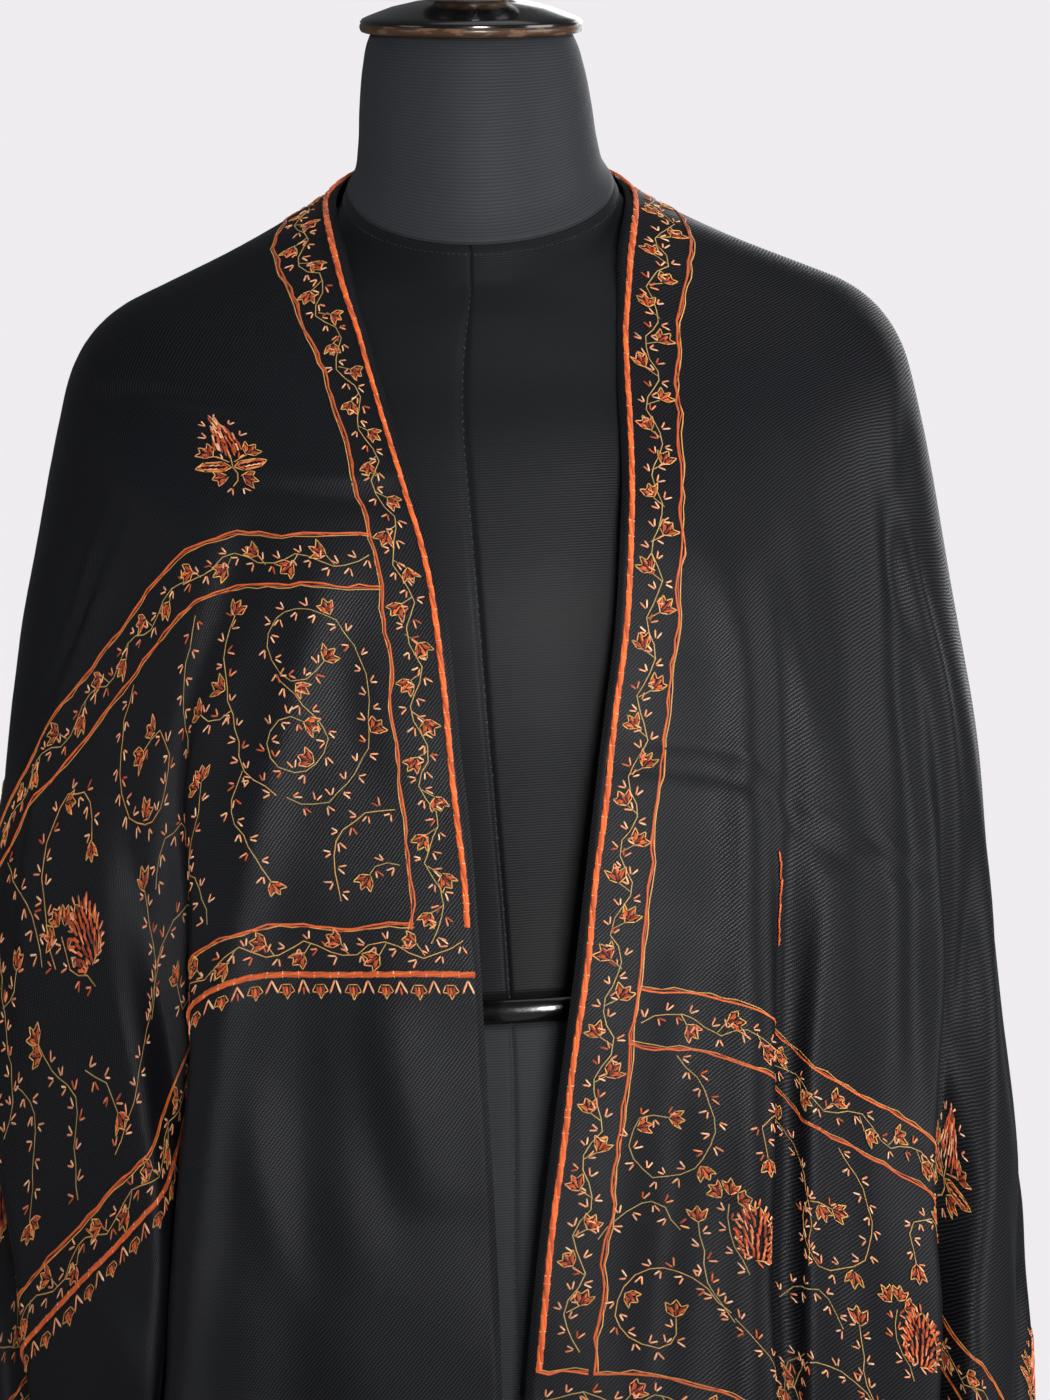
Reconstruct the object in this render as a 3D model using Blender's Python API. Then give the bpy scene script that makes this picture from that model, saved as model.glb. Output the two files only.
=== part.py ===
"""An embroidered stole resting on a limbless dress form, one solid for each piece.

Metres, +Z up. The form faces -Y, so the wearer's right side is towards -X.
"""
import math
from collections import namedtuple

import bmesh
import bpy
import numpy as np
from mathutils import Vector

# ---------------------------------------------------------------- driving dimensions
CUT_LENGTH = 2.00          # the stole as it was cut, along its long edges
CUT_WIDTH = 0.70
PULLED_LEFT = 0.110        # how far it is pulled round towards the wearer's left
CLOTH = 0.002              # thickness of the wall
SEAM = 0.0003              # gap between neighbouring pieces

TOP = 1.45                 # height of the side of the neck, where the cloth turns over
HANG = 0.38                # the hanging cloth's girth is taken this far below it
SQUARE = 2.3               # how full the hanging girth is: 2 is an ellipse

LEAN = math.radians(3.3)   # the form leans on its pole, its left side raised
CAP_NOD = math.radians(12.5)
BAND_PROUD = 0.002         # how far the waist band stands out
POLE_RADIUS = 0.0125
BASE_RADIUS = 0.175
BASE_HEIGHT = 0.024
SOCKET_HEIGHT = 0.044      # the base's socket, above its plate
SMOOTH_ANGLE = 40          # edges sharper than this stay sharp on the form, in degrees
CLOTH_SMOOTH_ANGLE = 60

# ---------------------------------------------------------------- the cloth's shape
# The cloth runs from the neck out to a corner over shoulder, chest or blade, and hangs from there.
# Reaches are from the form's axis, and heights from TOP.
Profile = namedtuple("Profile", "neck_out neck_up corner_out corner_up rounding swell fall flare")
FRONT = Profile(0.066, -0.038, 0.132, -0.195, 0.070, 0.000, 0.20, 0.020)
BACK = Profile(0.064, 0.032, 0.128, -0.115, 0.060, 0.012, 0.25, 0.060)
SIDES = {
    -1: Profile(0.077, -0.0065, 0.2130, -0.075, 0.036, 0.030, 0.25, 0.100),
    1: Profile(0.077, -0.0045, 0.2190, -0.060, 0.036, 0.045, 0.20, 0.060),
}

# One row for each rib, a thread that crosses the stole: how far along the long edge it starts, measured from
# the back of the neck; where that is, as a distance round the hanging girth from the front centre and a
# distance down from the neck; then how steeply it falls, in degrees: at its start, for how long, and after.
Rib = namedtuple("Rib", "along around down start_fall level_run mid_fall far_fall")
TURNING = 0.08             # how much of the width the fall takes to reach its middle value
LATE_FROM = 0.20           # where across the stole the fall starts towards its far value, and reaches it
LATE_TO = 0.32
THREAD_STEPS = 280         # steps in which a rib is followed across the stole
RIBS = {
    -1: (
        Rib(0.000, 0.668, 0.000, 90, 0.10, 90, 90),
        Rib(0.050, 0.505, 0.000, 86, 0.10, 84, 84),
        Rib(0.100, 0.372, 0.000, 74, 0.10, 77, 77),
        Rib(0.138, 0.277, 0.002, 60, 0.10, 72, 73),
        Rib(0.180, 0.190, 0.019, 36, 0.10, 68, 70),
        Rib(0.221, 0.126, 0.049, 20, 0.09, 64, 68),
        Rib(0.260, 0.085, 0.081, 9, 0.09, 59, 64),
        Rib(0.347, 0.031, 0.160, 0, 0.09, 50, 54),
        Rib(0.477, 0.007, 0.287, 0, 0.09, 50, 50),
        Rib(0.649, -0.006, 0.459, 0, 0.09, 50, 50),
        Rib(0.890, -0.016, 0.700, 0, 0.09, 50, 50),
    ),
    1: (
        Rib(0.000, 0.685, 0.000, 90, 0.10, 90, 90),
        Rib(0.050, 0.520, 0.000, 86, 0.10, 84, 84),
        Rib(0.100, 0.388, 0.000, 74, 0.10, 77, 77),
        Rib(0.138, 0.285, 0.003, 60, 0.10, 72, 73),
        Rib(0.180, 0.200, 0.021, 38, 0.10, 68, 70),
        Rib(0.221, 0.144, 0.054, 26, 0.08, 64, 68),
        Rib(0.257, 0.115, 0.086, 17, 0.07, 60, 68),
        Rib(0.331, 0.085, 0.157, 8, 0.05, 50, 65),
        Rib(0.418, 0.069, 0.243, 5, 0.04, 40, 60),
        Rib(0.557, 0.050, 0.378, 5, 0.04, 31, 51),
        Rib(0.767, 0.024, 0.582, 3, 0.04, 30, 49),
        Rib(1.110, 0.022, 0.925, 0, 0.04, 30, 49),
    ),
}

# One row for each fold that falls down the fronts and sides: where it lies across the stole, how much of the
# width it takes, how deep it is, how steep its walls are (past 1 they lean under the cloth in front), how far
# along it starts and is full, how far across it drifts for each metre along from where it is full, and the
# share of the way to PLUMB, in degrees, that a rib steepens in it. Its floor takes FOLD_FLOOR of its width
# either side of its middle.
FOLD_FLOOR = 0.12
PLUMB = 88
Fold = namedtuple("Fold", "across span depth hidden starts full drift slump")
FOLDS = {
    -1: (
        Fold(0.210, 0.118, 0.029, 1.30, 0.36, 0.62, 0.09, 0.65),
        Fold(0.420, 0.130, 0.031, 1.10, 0.16, 0.50, 0.00, 0.00),
        Fold(0.580, 0.130, 0.032, 1.10, 0.14, 0.50, 0.00, 0.00),
    ),
    1: (
        Fold(0.124, 0.042, 0.007, 0.65, 0.46, 0.60, 0.10, 0.30),
        Fold(0.284, 0.138, 0.030, 1.08, 0.27, 0.56, 0.07, 0.76),
        Fold(0.425, 0.060, 0.010, 0.50, 0.25, 0.60, 0.00, 0.00),
        Fold(0.570, 0.140, 0.034, 1.10, 0.14, 0.42, 0.00, 0.00),
    ),
}

# One row for each fold that falls down the back from the neck: how far along, its span and depth, and how
# far across the stole it starts and is full.
BackFold = namedtuple("BackFold", "along span depth starts full")
BACK_FOLDS = (
    BackFold(-0.098, 0.046, 0.020, 0.22, 0.55),
    BackFold(-0.036, 0.038, 0.015, 0.12, 0.60),
    BackFold(0.021, 0.034, 0.018, 0.20, 0.62),
    BackFold(0.086, 0.050, 0.022, 0.16, 0.52),
)


def column(rows, name):
    """One named column of a table."""
    return np.array([getattr(row, name) for row in rows], dtype=float)


def smooth_through(knots, values, at):
    """A smooth curve through a table's values, with no overshoot worth the name."""
    knots, values, at = np.asarray(knots), np.asarray(values), np.asarray(at, dtype=float)
    step = np.diff(knots)
    rise = np.diff(values) / step
    slope = np.empty_like(values)
    slope[0], slope[-1] = rise[0], rise[-1]
    slope[1:-1] = (rise[:-1] * step[1:] + rise[1:] * step[:-1]) / (step[:-1] + step[1:])
    i = np.clip(np.searchsorted(knots, at, side="right") - 1, 0, len(step) - 1)
    t = (at - knots[i]) / step[i]
    h00 = 2 * t**3 - 3 * t**2 + 1
    h10 = t**3 - 2 * t**2 + t
    h01 = 3 * t**2 - 2 * t**3
    h11 = t**3 - t**2
    return h00 * values[i] + h10 * step[i] * slope[i] + h01 * values[i + 1] + h11 * step[i] * slope[i + 1]


def ramp(low, high, at):
    """0 before low, 1 after high, smooth between."""
    t = np.clip((at - low) / (high - low), 0, 1)
    return t * t * (3 - 2 * t)


def mixed(side, turn, name):
    """A profile's value in the direction `turn`: 0 is the front, pi/2 the side and pi the back."""
    c = np.cos(turn)
    front = np.where(c > 0, c * c, 0.0)
    back = np.where(c < 0, c * c, 0.0)
    return (front * getattr(FRONT, name) + back * getattr(BACK, name)
            + np.sin(turn) ** 2 * getattr(SIDES[side], name))


def neck_height(side, turn):
    """The neck loop's height: it slopes evenly from the back of the neck down to the front."""
    c = np.cos(turn)
    ends = np.where(c > 0, FRONT.neck_up, BACK.neck_up)
    return TOP + SIDES[side].neck_up + (ends - SIDES[side].neck_up) * np.abs(c)


def plan_point(side, turn, name, square):
    """A point of a loop round the form, seen from above, whose reach is the profiles' value `name`."""
    s, c = np.sin(turn), np.cos(turn)
    x = side * getattr(SIDES[side], name) * np.sign(s) * np.abs(s) ** (2 / square)
    depth = np.where(c > 0, getattr(FRONT, name), getattr(BACK, name))
    y = -depth * np.sign(c) * np.abs(c) ** (2 / square)
    return x, y


def cape_point(side, turn, low):
    """The point of the draped shape in the direction `turn`, `low` metres below TOP where it hangs."""
    neck_x, neck_y = plan_point(side, turn, "neck_out", 2)
    corner_x, corner_y = plan_point(side, turn, "corner_out", SQUARE)
    neck_z, corner_z = neck_height(side, turn), TOP + mixed(side, turn, "corner_up")
    out_x, out_y = corner_x - neck_x, corner_y - neck_y
    reach = np.hypot(out_x, out_y)
    out_x, out_y = out_x / reach, out_y / reach
    shelf = np.hypot(reach, neck_z - corner_z)
    past = low - (TOP - corner_z)                   # distance past the corner, negative before it
    rounding = np.minimum(mixed(side, turn, "rounding"), 0.9 * shelf)
    swell, fall = mixed(side, turn, "swell"), mixed(side, turn, "fall")
    flare = mixed(side, turn, "flare")

    def before(e):
        return reach * (1 + e / shelf), corner_z - (neck_z - corner_z) * e / shelf

    def after(e):
        grown = swell * (1 - np.exp(-np.maximum(e, 0) / fall)) + flare * e
        return reach + grown, corner_z - e

    r0, z0 = before(-rounding)
    r2, z2 = after(rounding)
    q = np.clip((past + rounding) / (2 * rounding), 0, 1)
    bend_r = (1 - q) ** 2 * r0 + 2 * q * (1 - q) * reach + q**2 * r2
    bend_z = (1 - q) ** 2 * z0 + 2 * q * (1 - q) * corner_z + q**2 * z2
    before_r, before_z = before(past)
    after_r, after_z = after(past)
    r = np.where(past < -rounding, before_r, np.where(past > rounding, after_r, bend_r))
    z = np.where(past < -rounding, before_z, np.where(past > rounding, after_z, bend_z))
    return np.stack([neck_x + out_x * r, neck_y + out_y * r, z], axis=-1)


def neck_low(side, turn):
    """The value of `low` at the neck in a direction."""
    neck_x, neck_y = plan_point(side, turn, "neck_out", 2)
    corner_x, corner_y = plan_point(side, turn, "corner_out", SQUARE)
    corner_z = TOP + mixed(side, turn, "corner_up")
    drop = neck_height(side, turn) - corner_z
    shelf = np.sqrt((corner_x - neck_x) ** 2 + (corner_y - neck_y) ** 2 + drop ** 2)
    return TOP - corner_z - shelf


def girth(side):
    """Distances round the hanging girth from the front centre, and the directions they belong to."""
    turn = np.linspace(-0.30, math.pi, 900)
    points = cape_point(side, turn, np.full_like(turn, HANG))
    steps = np.hypot(np.diff(points[:, 0]), np.diff(points[:, 1]))
    around = np.concatenate([[0], np.cumsum(steps)])
    return around - np.interp(0.0, turn, around), turn


def half_stole(side, along, across):
    """Points of one half of the stole, on a grid of distances along it and across it."""
    ribs = RIBS[side]
    knots = column(ribs, "along")
    around, turns = girth(side)
    back_centre = around[-1]
    rib = {name: smooth_through(knots, column(ribs, name), along)[:, None] for name in Rib._fields[1:]}
    start_around = smooth_through(knots, np.append(back_centre, column(ribs, "around")[1:]), along)[:, None]

    fine = np.linspace(0, CUT_WIDTH, THREAD_STEPS + 1)
    step = fine[1]
    bend = ramp(0, TURNING, fine[None, :] - rib["level_run"])
    late = ramp(LATE_FROM, LATE_TO, fine[None, :])
    fall = rib["start_fall"] + (rib["mid_fall"] - rib["start_fall"]) * bend
    fall = fall + (rib["far_fall"] - rib["mid_fall"]) * late
    shown, inward = np.ones_like(fall), np.zeros_like(fall)
    for fold in FOLDS[side]:
        grown = ramp(fold.starts, fold.full, along)[:, None]
        middle = fold.across + fold.drift * (along - fold.full)[:, None]
        off = np.abs(fine[None, :] - middle) / fold.span
        t = np.clip((0.5 - off) / (0.5 - FOLD_FLOOR), 0, 1)
        shown = shown * (1 - fold.hidden * grown * 4 * t * (1 - t))
        inward = inward + fold.depth * grown * t * t * (3 - 2 * t)
        fall = fall + fold.slump * grown * t * t * (3 - 2 * t) * (PLUMB - fall)

    def summed(rate):
        middle = (rate[:, 1:] + rate[:, :-1]) / 2
        return np.concatenate([np.zeros((len(along), 1)), np.cumsum(middle, axis=1)], axis=1) * step

    fall = np.radians(fall)
    place = np.interp(start_around + summed(np.cos(fall) * shown), around, turns)
    start_turn = np.interp(start_around, around, turns)
    low = neck_low(side, start_turn) + rib["down"] + summed(np.sin(fall))
    for fold in BACK_FOLDS:
        off = np.abs(side * along - fold.along) / fold.span
        near = np.cos(math.pi * np.clip(off, 0, 0.5)) ** 2
        inward = inward + fold.depth * near[:, None] * ramp(fold.starts, fold.full, fine)[None, :]

    points = cape_point(side, place, low)
    ahead = cape_point(side, place + 0.01, low) - points
    outward = np.stack([ahead[..., 1], -ahead[..., 0]], axis=-1) * side
    outward /= np.maximum(np.linalg.norm(outward, axis=-1, keepdims=True), 1e-9)
    points[..., :2] -= outward * inward[..., None]
    spread = [[np.interp(across, fine, row[:, k]) for k in range(3)] for row in points]
    return np.stack(spread).transpose(0, 2, 1)


def stole_points(along, across):
    """The middle surface of the cloth. `along` runs from the wearer's right end, below 0, to the left end."""
    along = np.asarray(along, dtype=float)
    halves = []
    for side in (-1, 1):
        mine = along < 0 if side < 0 else along >= 0
        if mine.any():
            halves.append(half_stole(side, np.abs(along[mine]), np.asarray(across, dtype=float)))
    return np.concatenate(halves)
# ---------------------------------------------------------------- end of the cloth's shape


# ---------------------------------------------------------------- the dress form's shape
# One row for each ring of the form: its height from TOP, its half width, its reach to front and back, how
# full it is, how far it nods forward (slope) and what share of the lean it has.
Ring = namedtuple("Ring", "up half front back full nod lean")
NECK_RINGS = (
    Ring(0.082, 0.0540, 0.0510, 0.0500, 2.0, 0.2217, 0.0),
    Ring(0.078, 0.0558, 0.0525, 0.0515, 2.0, 0.23, 0.0),
    Ring(0.064, 0.0593, 0.0550, 0.0530, 2.0, 0.30, 0.1),
    Ring(0.043, 0.0622, 0.0570, 0.0545, 2.0, 0.40, 0.2),
    Ring(0.022, 0.0642, 0.0585, 0.0555, 2.0, 0.52, 0.3),
    Ring(0.008, 0.0672, 0.0600, 0.0568, 2.0, 0.60, 0.4),
    Ring(0.000, 0.0718, 0.0622, 0.0578, 2.0, 0.62, 0.4),
)
TORSO_RINGS = (
    NECK_RINGS[-1],
    Ring(-0.017, 0.0815, 0.0660, 0.0610, 2.0, 0.56, 0.4),
    Ring(-0.030, 0.1060, 0.0690, 0.0660, 1.9, 0.46, 0.7),
    Ring(-0.041, 0.1350, 0.0740, 0.0740, 1.85, 0.36, 1.0),
    Ring(-0.056, 0.1620, 0.0795, 0.0830, 1.85, 0.24, 1.0),
    Ring(-0.076, 0.1820, 0.0848, 0.0920, 1.95, 0.14, 1.0),
    Ring(-0.105, 0.1900, 0.0924, 0.1020, 2.1, 0.06, 1.0),
    Ring(-0.140, 0.1850, 0.1040, 0.1100, 2.2, 0.00, 1.0),
    Ring(-0.180, 0.1710, 0.1130, 0.1140, 2.2, 0.00, 1.0),
    Ring(-0.225, 0.1560, 0.1190, 0.1130, 2.2, 0.00, 1.0),
    Ring(-0.280, 0.1420, 0.1140, 0.1040, 2.2, 0.00, 1.0),
    Ring(-0.340, 0.1280, 0.1030, 0.0920, 2.15, 0.00, 1.0),
    Ring(-0.395, 0.1180, 0.0940, 0.0830, 2.1, 0.00, 1.0),
    Ring(-0.4275, 0.1155, 0.0910, 0.0800, 2.1, 0.00, 1.0),
)
BAND_BOTTOM = Ring(-0.4405, 0.1155, 0.0910, 0.0800, 2.1, 0.00, 1.0)
HIP_RINGS = (
    BAND_BOTTOM,
    Ring(-0.470, 0.1210, 0.0950, 0.0880, 2.1, 0.00, 1.0),
    Ring(-0.520, 0.1380, 0.1040, 0.1040, 2.2, 0.00, 1.0),
    Ring(-0.570, 0.1540, 0.1110, 0.1160, 2.3, 0.00, 1.0),
    Ring(-0.620, 0.1630, 0.1130, 0.1210, 2.3, 0.00, 1.0),
    Ring(-0.660, 0.1640, 0.1110, 0.1200, 2.3, 0.00, 0.6),
    Ring(-0.676, 0.1580, 0.1050, 0.1140, 2.3, 0.00, 0.2),
    Ring(-0.680, 0.1500, 0.0970, 0.1060, 2.3, 0.00, 0.0),
)
RING_POINTS = 56
TURNED_POINTS = 48

# The cap and its knob, turned: radius and height from the top of the neck.
CAP_PROFILE = (
    (0.0500, 0.0004), (0.0580, 0.0004), (0.0602, 0.0018), (0.0604, 0.0042), (0.0585, 0.0068),
    (0.0530, 0.0100), (0.0430, 0.0138), (0.0300, 0.0168), (0.0225, 0.0180), (0.0200, 0.0215),
    (0.0215, 0.0260), (0.0290, 0.0330), (0.0320, 0.0430), (0.0290, 0.0530), (0.0190, 0.0610),
    (0.0080, 0.0640),
)
NECK_CAP_X = -NECK_RINGS[0].up * math.tan(LEAN)
HIP_BOTTOM_UP = HIP_RINGS[-1].up
STEM_X = -HIP_BOTTOM_UP * math.tan(LEAN)
POLE_FOOT = BASE_HEIGHT + SOCKET_HEIGHT + SEAM
POLE_LENGTH = TOP + HIP_BOTTOM_UP - SEAM - POLE_FOOT
BASE_PROFILE = (
    (BASE_RADIUS - 0.004, 0.0), (BASE_RADIUS, 0.004), (BASE_RADIUS, 0.012), (BASE_RADIUS - 0.006, 0.018),
    (0.060, BASE_HEIGHT), (0.030, BASE_HEIGHT + 0.010), (0.022, BASE_HEIGHT + SOCKET_HEIGHT - 0.004),
    (0.018, BASE_HEIGHT + SOCKET_HEIGHT),
)


def ring_points(ring, raise_by=0.0, grow=0.0):
    """The points of one ring of the form, counter-clockwise from above, leaning as the form does."""
    centre_x = -ring.up * math.tan(LEAN)
    points = []
    for i in range(RING_POINTS):
        turn = 2 * math.pi * i / RING_POINTS
        s, c = math.sin(turn), math.cos(turn)
        x = (ring.half + grow) * math.copysign(abs(s) ** (2 / ring.full), s)
        reach = (ring.front if c > 0 else ring.back) + grow
        y = -reach * math.copysign(abs(c) ** (2 / ring.full), c)
        z = TOP + ring.up + raise_by + ring.nod * y + math.tan(LEAN) * ring.lean * x
        points.append((centre_x + x, y, z))
    return points


def lofted(name, rings, material):
    """A closed body through rings of equal counts, listed from the top down."""
    mesh = bmesh.new()
    loops = [[mesh.verts.new(point) for point in ring] for ring in rings]
    for upper, lower in zip(loops, loops[1:]):
        for i in range(len(upper)):
            j = (i + 1) % len(upper)
            mesh.faces.new((upper[i], lower[i], lower[j], upper[j]))
    mesh.faces.new(loops[0])
    mesh.faces.new(reversed(loops[-1]))
    return finished(name, mesh, material, SMOOTH_ANGLE)


def turned_rings(profile, centre, nod=0.0):
    """Rings of a turned piece, from the top down."""
    rings = []
    for radius, height in reversed(profile):
        ring = []
        for i in range(TURNED_POINTS):
            turn = 2 * math.pi * i / TURNED_POINTS
            x, y = radius * math.sin(turn), -radius * math.cos(turn)
            y, z = y * math.cos(nod) - height * math.sin(nod), y * math.sin(nod) + height * math.cos(nod)
            ring.append((centre[0] + x, centre[1] + y, centre[2] + z))
        rings.append(ring)
    return rings


def finished(name, mesh, material, sharp):
    """The object of a body, with its faces out, shaded smooth but for its sharp edges."""
    bmesh.ops.recalc_face_normals(mesh, faces=mesh.faces)
    data = bpy.data.meshes.new(name)
    mesh.to_mesh(data)
    mesh.free()
    data.shade_smooth()
    data.set_sharp_from_angle(angle=math.radians(sharp))
    data.materials.append(material)
    made = bpy.data.objects.new(name, data)
    bpy.context.scene.collection.objects.link(made)
    return made


def plain_material(name, colour, roughness, sheen=0.0, coat=0.0):
    """A Principled material of one finish."""
    material = bpy.data.materials.new(name)
    material.use_nodes = True
    shader = material.node_tree.nodes["Principled BSDF"]
    shader.inputs["Base Color"].default_value = (*colour, 1.0)
    shader.inputs["Roughness"].default_value = roughness
    shader.inputs["Sheen Weight"].default_value = sheen
    shader.inputs["Coat Weight"].default_value = coat
    return material


# ---------------------------------------------------------------- the stole's stretches
# Where the stole is parted into the stretches that show, and how long the cells are between those places.
Stretch = namedtuple("Stretch", "name starts ends cells")
RIGHT_END = PULLED_LEFT - CUT_LENGTH / 2
LEFT_END = PULLED_LEFT + CUT_LENGTH / 2
STRETCHES = (
    Stretch("stole_front_right", RIGHT_END, -0.250, 16),
    Stretch("stole_shoulder_right", -0.250, -0.115, 8),
    Stretch("stole_back", -0.115, 0.115, 16),
    Stretch("stole_shoulder_left", 0.115, 0.250, 8),
    Stretch("stole_front_left", 0.250, LEFT_END, 20),
)
CROSS_CELLS = 36
NORMAL_REACH = 0.002       # how far either side of a point its normal is taken from


def cloth_wall(stretch, material):
    """One stretch of the stole: a wall either side of its middle surface."""
    starts = stretch.starts + (SEAM / 2 if stretch.starts > RIGHT_END else 0)
    ends = stretch.ends - (SEAM / 2 if stretch.ends < LEFT_END else 0)
    along = np.linspace(starts, ends, stretch.cells + 1)
    across = np.linspace(0, CUT_WIDTH, CROSS_CELLS + 1)
    middle = stole_points(along, across)
    lengthwise = stole_points(along + NORMAL_REACH, across) - stole_points(along - NORMAL_REACH, across)
    wide = np.clip(across + NORMAL_REACH, 0, CUT_WIDTH)
    narrow = np.clip(across - NORMAL_REACH, 0, CUT_WIDTH)
    crosswise = stole_points(along, wide) - stole_points(along, narrow)
    normal = np.cross(lengthwise, crosswise)
    normal /= np.linalg.norm(normal, axis=-1, keepdims=True)

    mesh = bmesh.new()
    outer = [[mesh.verts.new(p) for p in row] for row in middle + normal * CLOTH / 2]
    inner = [[mesh.verts.new(p) for p in row] for row in middle - normal * CLOTH / 2]
    last, far = len(along) - 1, len(across) - 1
    for i in range(last):
        for j in range(far):
            mesh.faces.new((outer[i][j], outer[i + 1][j], outer[i + 1][j + 1], outer[i][j + 1]))
            mesh.faces.new((inner[i][j], inner[i][j + 1], inner[i + 1][j + 1], inner[i + 1][j]))
        mesh.faces.new((outer[i][0], inner[i][0], inner[i + 1][0], outer[i + 1][0]))
        mesh.faces.new((outer[i][far], outer[i + 1][far], inner[i + 1][far], inner[i][far]))
    for j in range(far):
        mesh.faces.new((outer[0][j], outer[0][j + 1], inner[0][j + 1], inner[0][j]))
        mesh.faces.new((outer[last][j], inner[last][j], inner[last][j + 1], outer[last][j + 1]))
    return finished(stretch.name, mesh, material, CLOTH_SMOOTH_ANGLE)


# ---------------------------------------------------------------- building it
def centred(pieces):
    """Moves all pieces so that the middle of their box is over the origin, and they stand on z = 0."""
    corners = np.array([tuple(v.co) for piece in pieces for v in piece.data.vertices])
    low, high = corners.min(axis=0), corners.max(axis=0)
    offset = np.array([-(low[0] + high[0]) / 2, -(low[1] + high[1]) / 2, -low[2]])
    for piece in pieces:
        for vertex in piece.data.vertices:
            vertex.co = vertex.co + Vector(offset)


def build():
    for old in list(bpy.data.objects):
        bpy.data.objects.remove(old, do_unlink=True)

    twill = plain_material("black_twill", (0.010, 0.010, 0.012), 0.62, sheen=0.35)
    jersey = plain_material("black_jersey", (0.016, 0.017, 0.019), 0.85)
    neck_cover = plain_material("charcoal_cover", (0.030, 0.033, 0.038), 0.85)
    lacquer = plain_material("black_lacquer", (0.008, 0.006, 0.005), 0.10, coat=0.5)
    iron = plain_material("black_iron", (0.012, 0.012, 0.013), 0.35)

    half_seam = SEAM / 2
    neck_top = TOP + NECK_RINGS[0].up
    pieces = [
        lofted("neck_cap", turned_rings(CAP_PROFILE, (NECK_CAP_X, 0.0, neck_top), CAP_NOD), lacquer),
        lofted("neck_block", [ring_points(r, half_seam) for r in NECK_RINGS], neck_cover),
        lofted("torso", [ring_points(r, -half_seam) for r in TORSO_RINGS], jersey),
        lofted("waist_band", [ring_points(TORSO_RINGS[-1], -1.5 * SEAM, BAND_PROUD),
                              ring_points(BAND_BOTTOM, SEAM, BAND_PROUD)], lacquer),
        lofted("hip_block", [ring_points(r) for r in HIP_RINGS], jersey),
        lofted("pole", turned_rings(((POLE_RADIUS, 0.0), (POLE_RADIUS, POLE_LENGTH)),
                                    (STEM_X, 0.0, POLE_FOOT)), iron),
        lofted("base", turned_rings(BASE_PROFILE, (STEM_X, 0.0, 0.0)), iron),
    ]
    pieces += [cloth_wall(stretch, twill) for stretch in STRETCHES]
    centred(pieces)


build()
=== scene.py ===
import cmath
import math
import random
from collections import namedtuple

import bpy
import numpy as np
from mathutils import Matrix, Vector

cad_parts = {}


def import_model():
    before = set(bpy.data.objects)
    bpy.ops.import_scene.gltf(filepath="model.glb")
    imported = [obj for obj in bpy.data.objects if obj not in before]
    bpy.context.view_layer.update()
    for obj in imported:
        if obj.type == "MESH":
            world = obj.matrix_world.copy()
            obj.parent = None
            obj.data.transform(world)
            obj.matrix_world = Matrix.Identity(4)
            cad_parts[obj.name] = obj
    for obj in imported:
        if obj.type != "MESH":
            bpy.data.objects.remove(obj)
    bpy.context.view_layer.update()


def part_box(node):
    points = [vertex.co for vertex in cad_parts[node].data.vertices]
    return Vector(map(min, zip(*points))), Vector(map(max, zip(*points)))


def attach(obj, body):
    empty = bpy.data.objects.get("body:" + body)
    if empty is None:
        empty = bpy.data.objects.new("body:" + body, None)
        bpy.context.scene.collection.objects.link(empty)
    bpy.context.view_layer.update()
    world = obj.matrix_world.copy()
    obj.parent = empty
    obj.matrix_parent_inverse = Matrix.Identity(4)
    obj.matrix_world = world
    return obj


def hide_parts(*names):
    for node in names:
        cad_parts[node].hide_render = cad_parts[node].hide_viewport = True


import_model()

# === the cloth
# One rectangle of fine black wool twill, cut 0.70 by 2.00 m, over the back of the neck and both shoulders and
# pulled round towards the wearer's left, so that end hangs lower. It is followed rib by rib, each a thread
# that crosses it from the long edge at the neck to the other, and pressed creases are laid over.
CUT_LENGTH = 2.00
CUT_WIDTH = 0.70
PULLED_LEFT = 0.110
RIGHT_END = PULLED_LEFT - CUT_LENGTH / 2
LEFT_END = PULLED_LEFT + CUT_LENGTH / 2
CLOTH_THICKNESS = 0.0007
TOP = 1.45                 # height of the foot of the neck
HANG = 0.38                # how far below it the girth of the hanging cloth is measured
SQUARE = 2.3               # how square the shoulders are, seen from above: 2 is round


def in_mm(kind, lengths, rows):
    """The rows of a table, whose first columns are lengths in millimetres."""
    return [kind(*(value / 1000 for value in row[:lengths]), *row[lengths:]) for row in rows]


# The cloth runs from the neck out to a corner over chest, blade or shoulder, and hangs from there. Reaches
# are from the form's axis, heights from TOP, and the flare is a share of the fall.
Profile = namedtuple("Profile", "neck_out neck_up corner_out corner_up rounding swell fall flare")
FRONT, BACK, RIGHT, LEFT = in_mm(Profile, 7, (
    (66, -38, 132, -195, 70, 0, 200, .02), (64, 32, 128, -115, 60, 12, 250, .06),
    (77, -6.5, 213, -75, 36, 30, 250, .1), (77, -4.5, 219, -60, 36, 45, 200, .06)))
SIDES = {-1: RIGHT, 1: LEFT}

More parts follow.
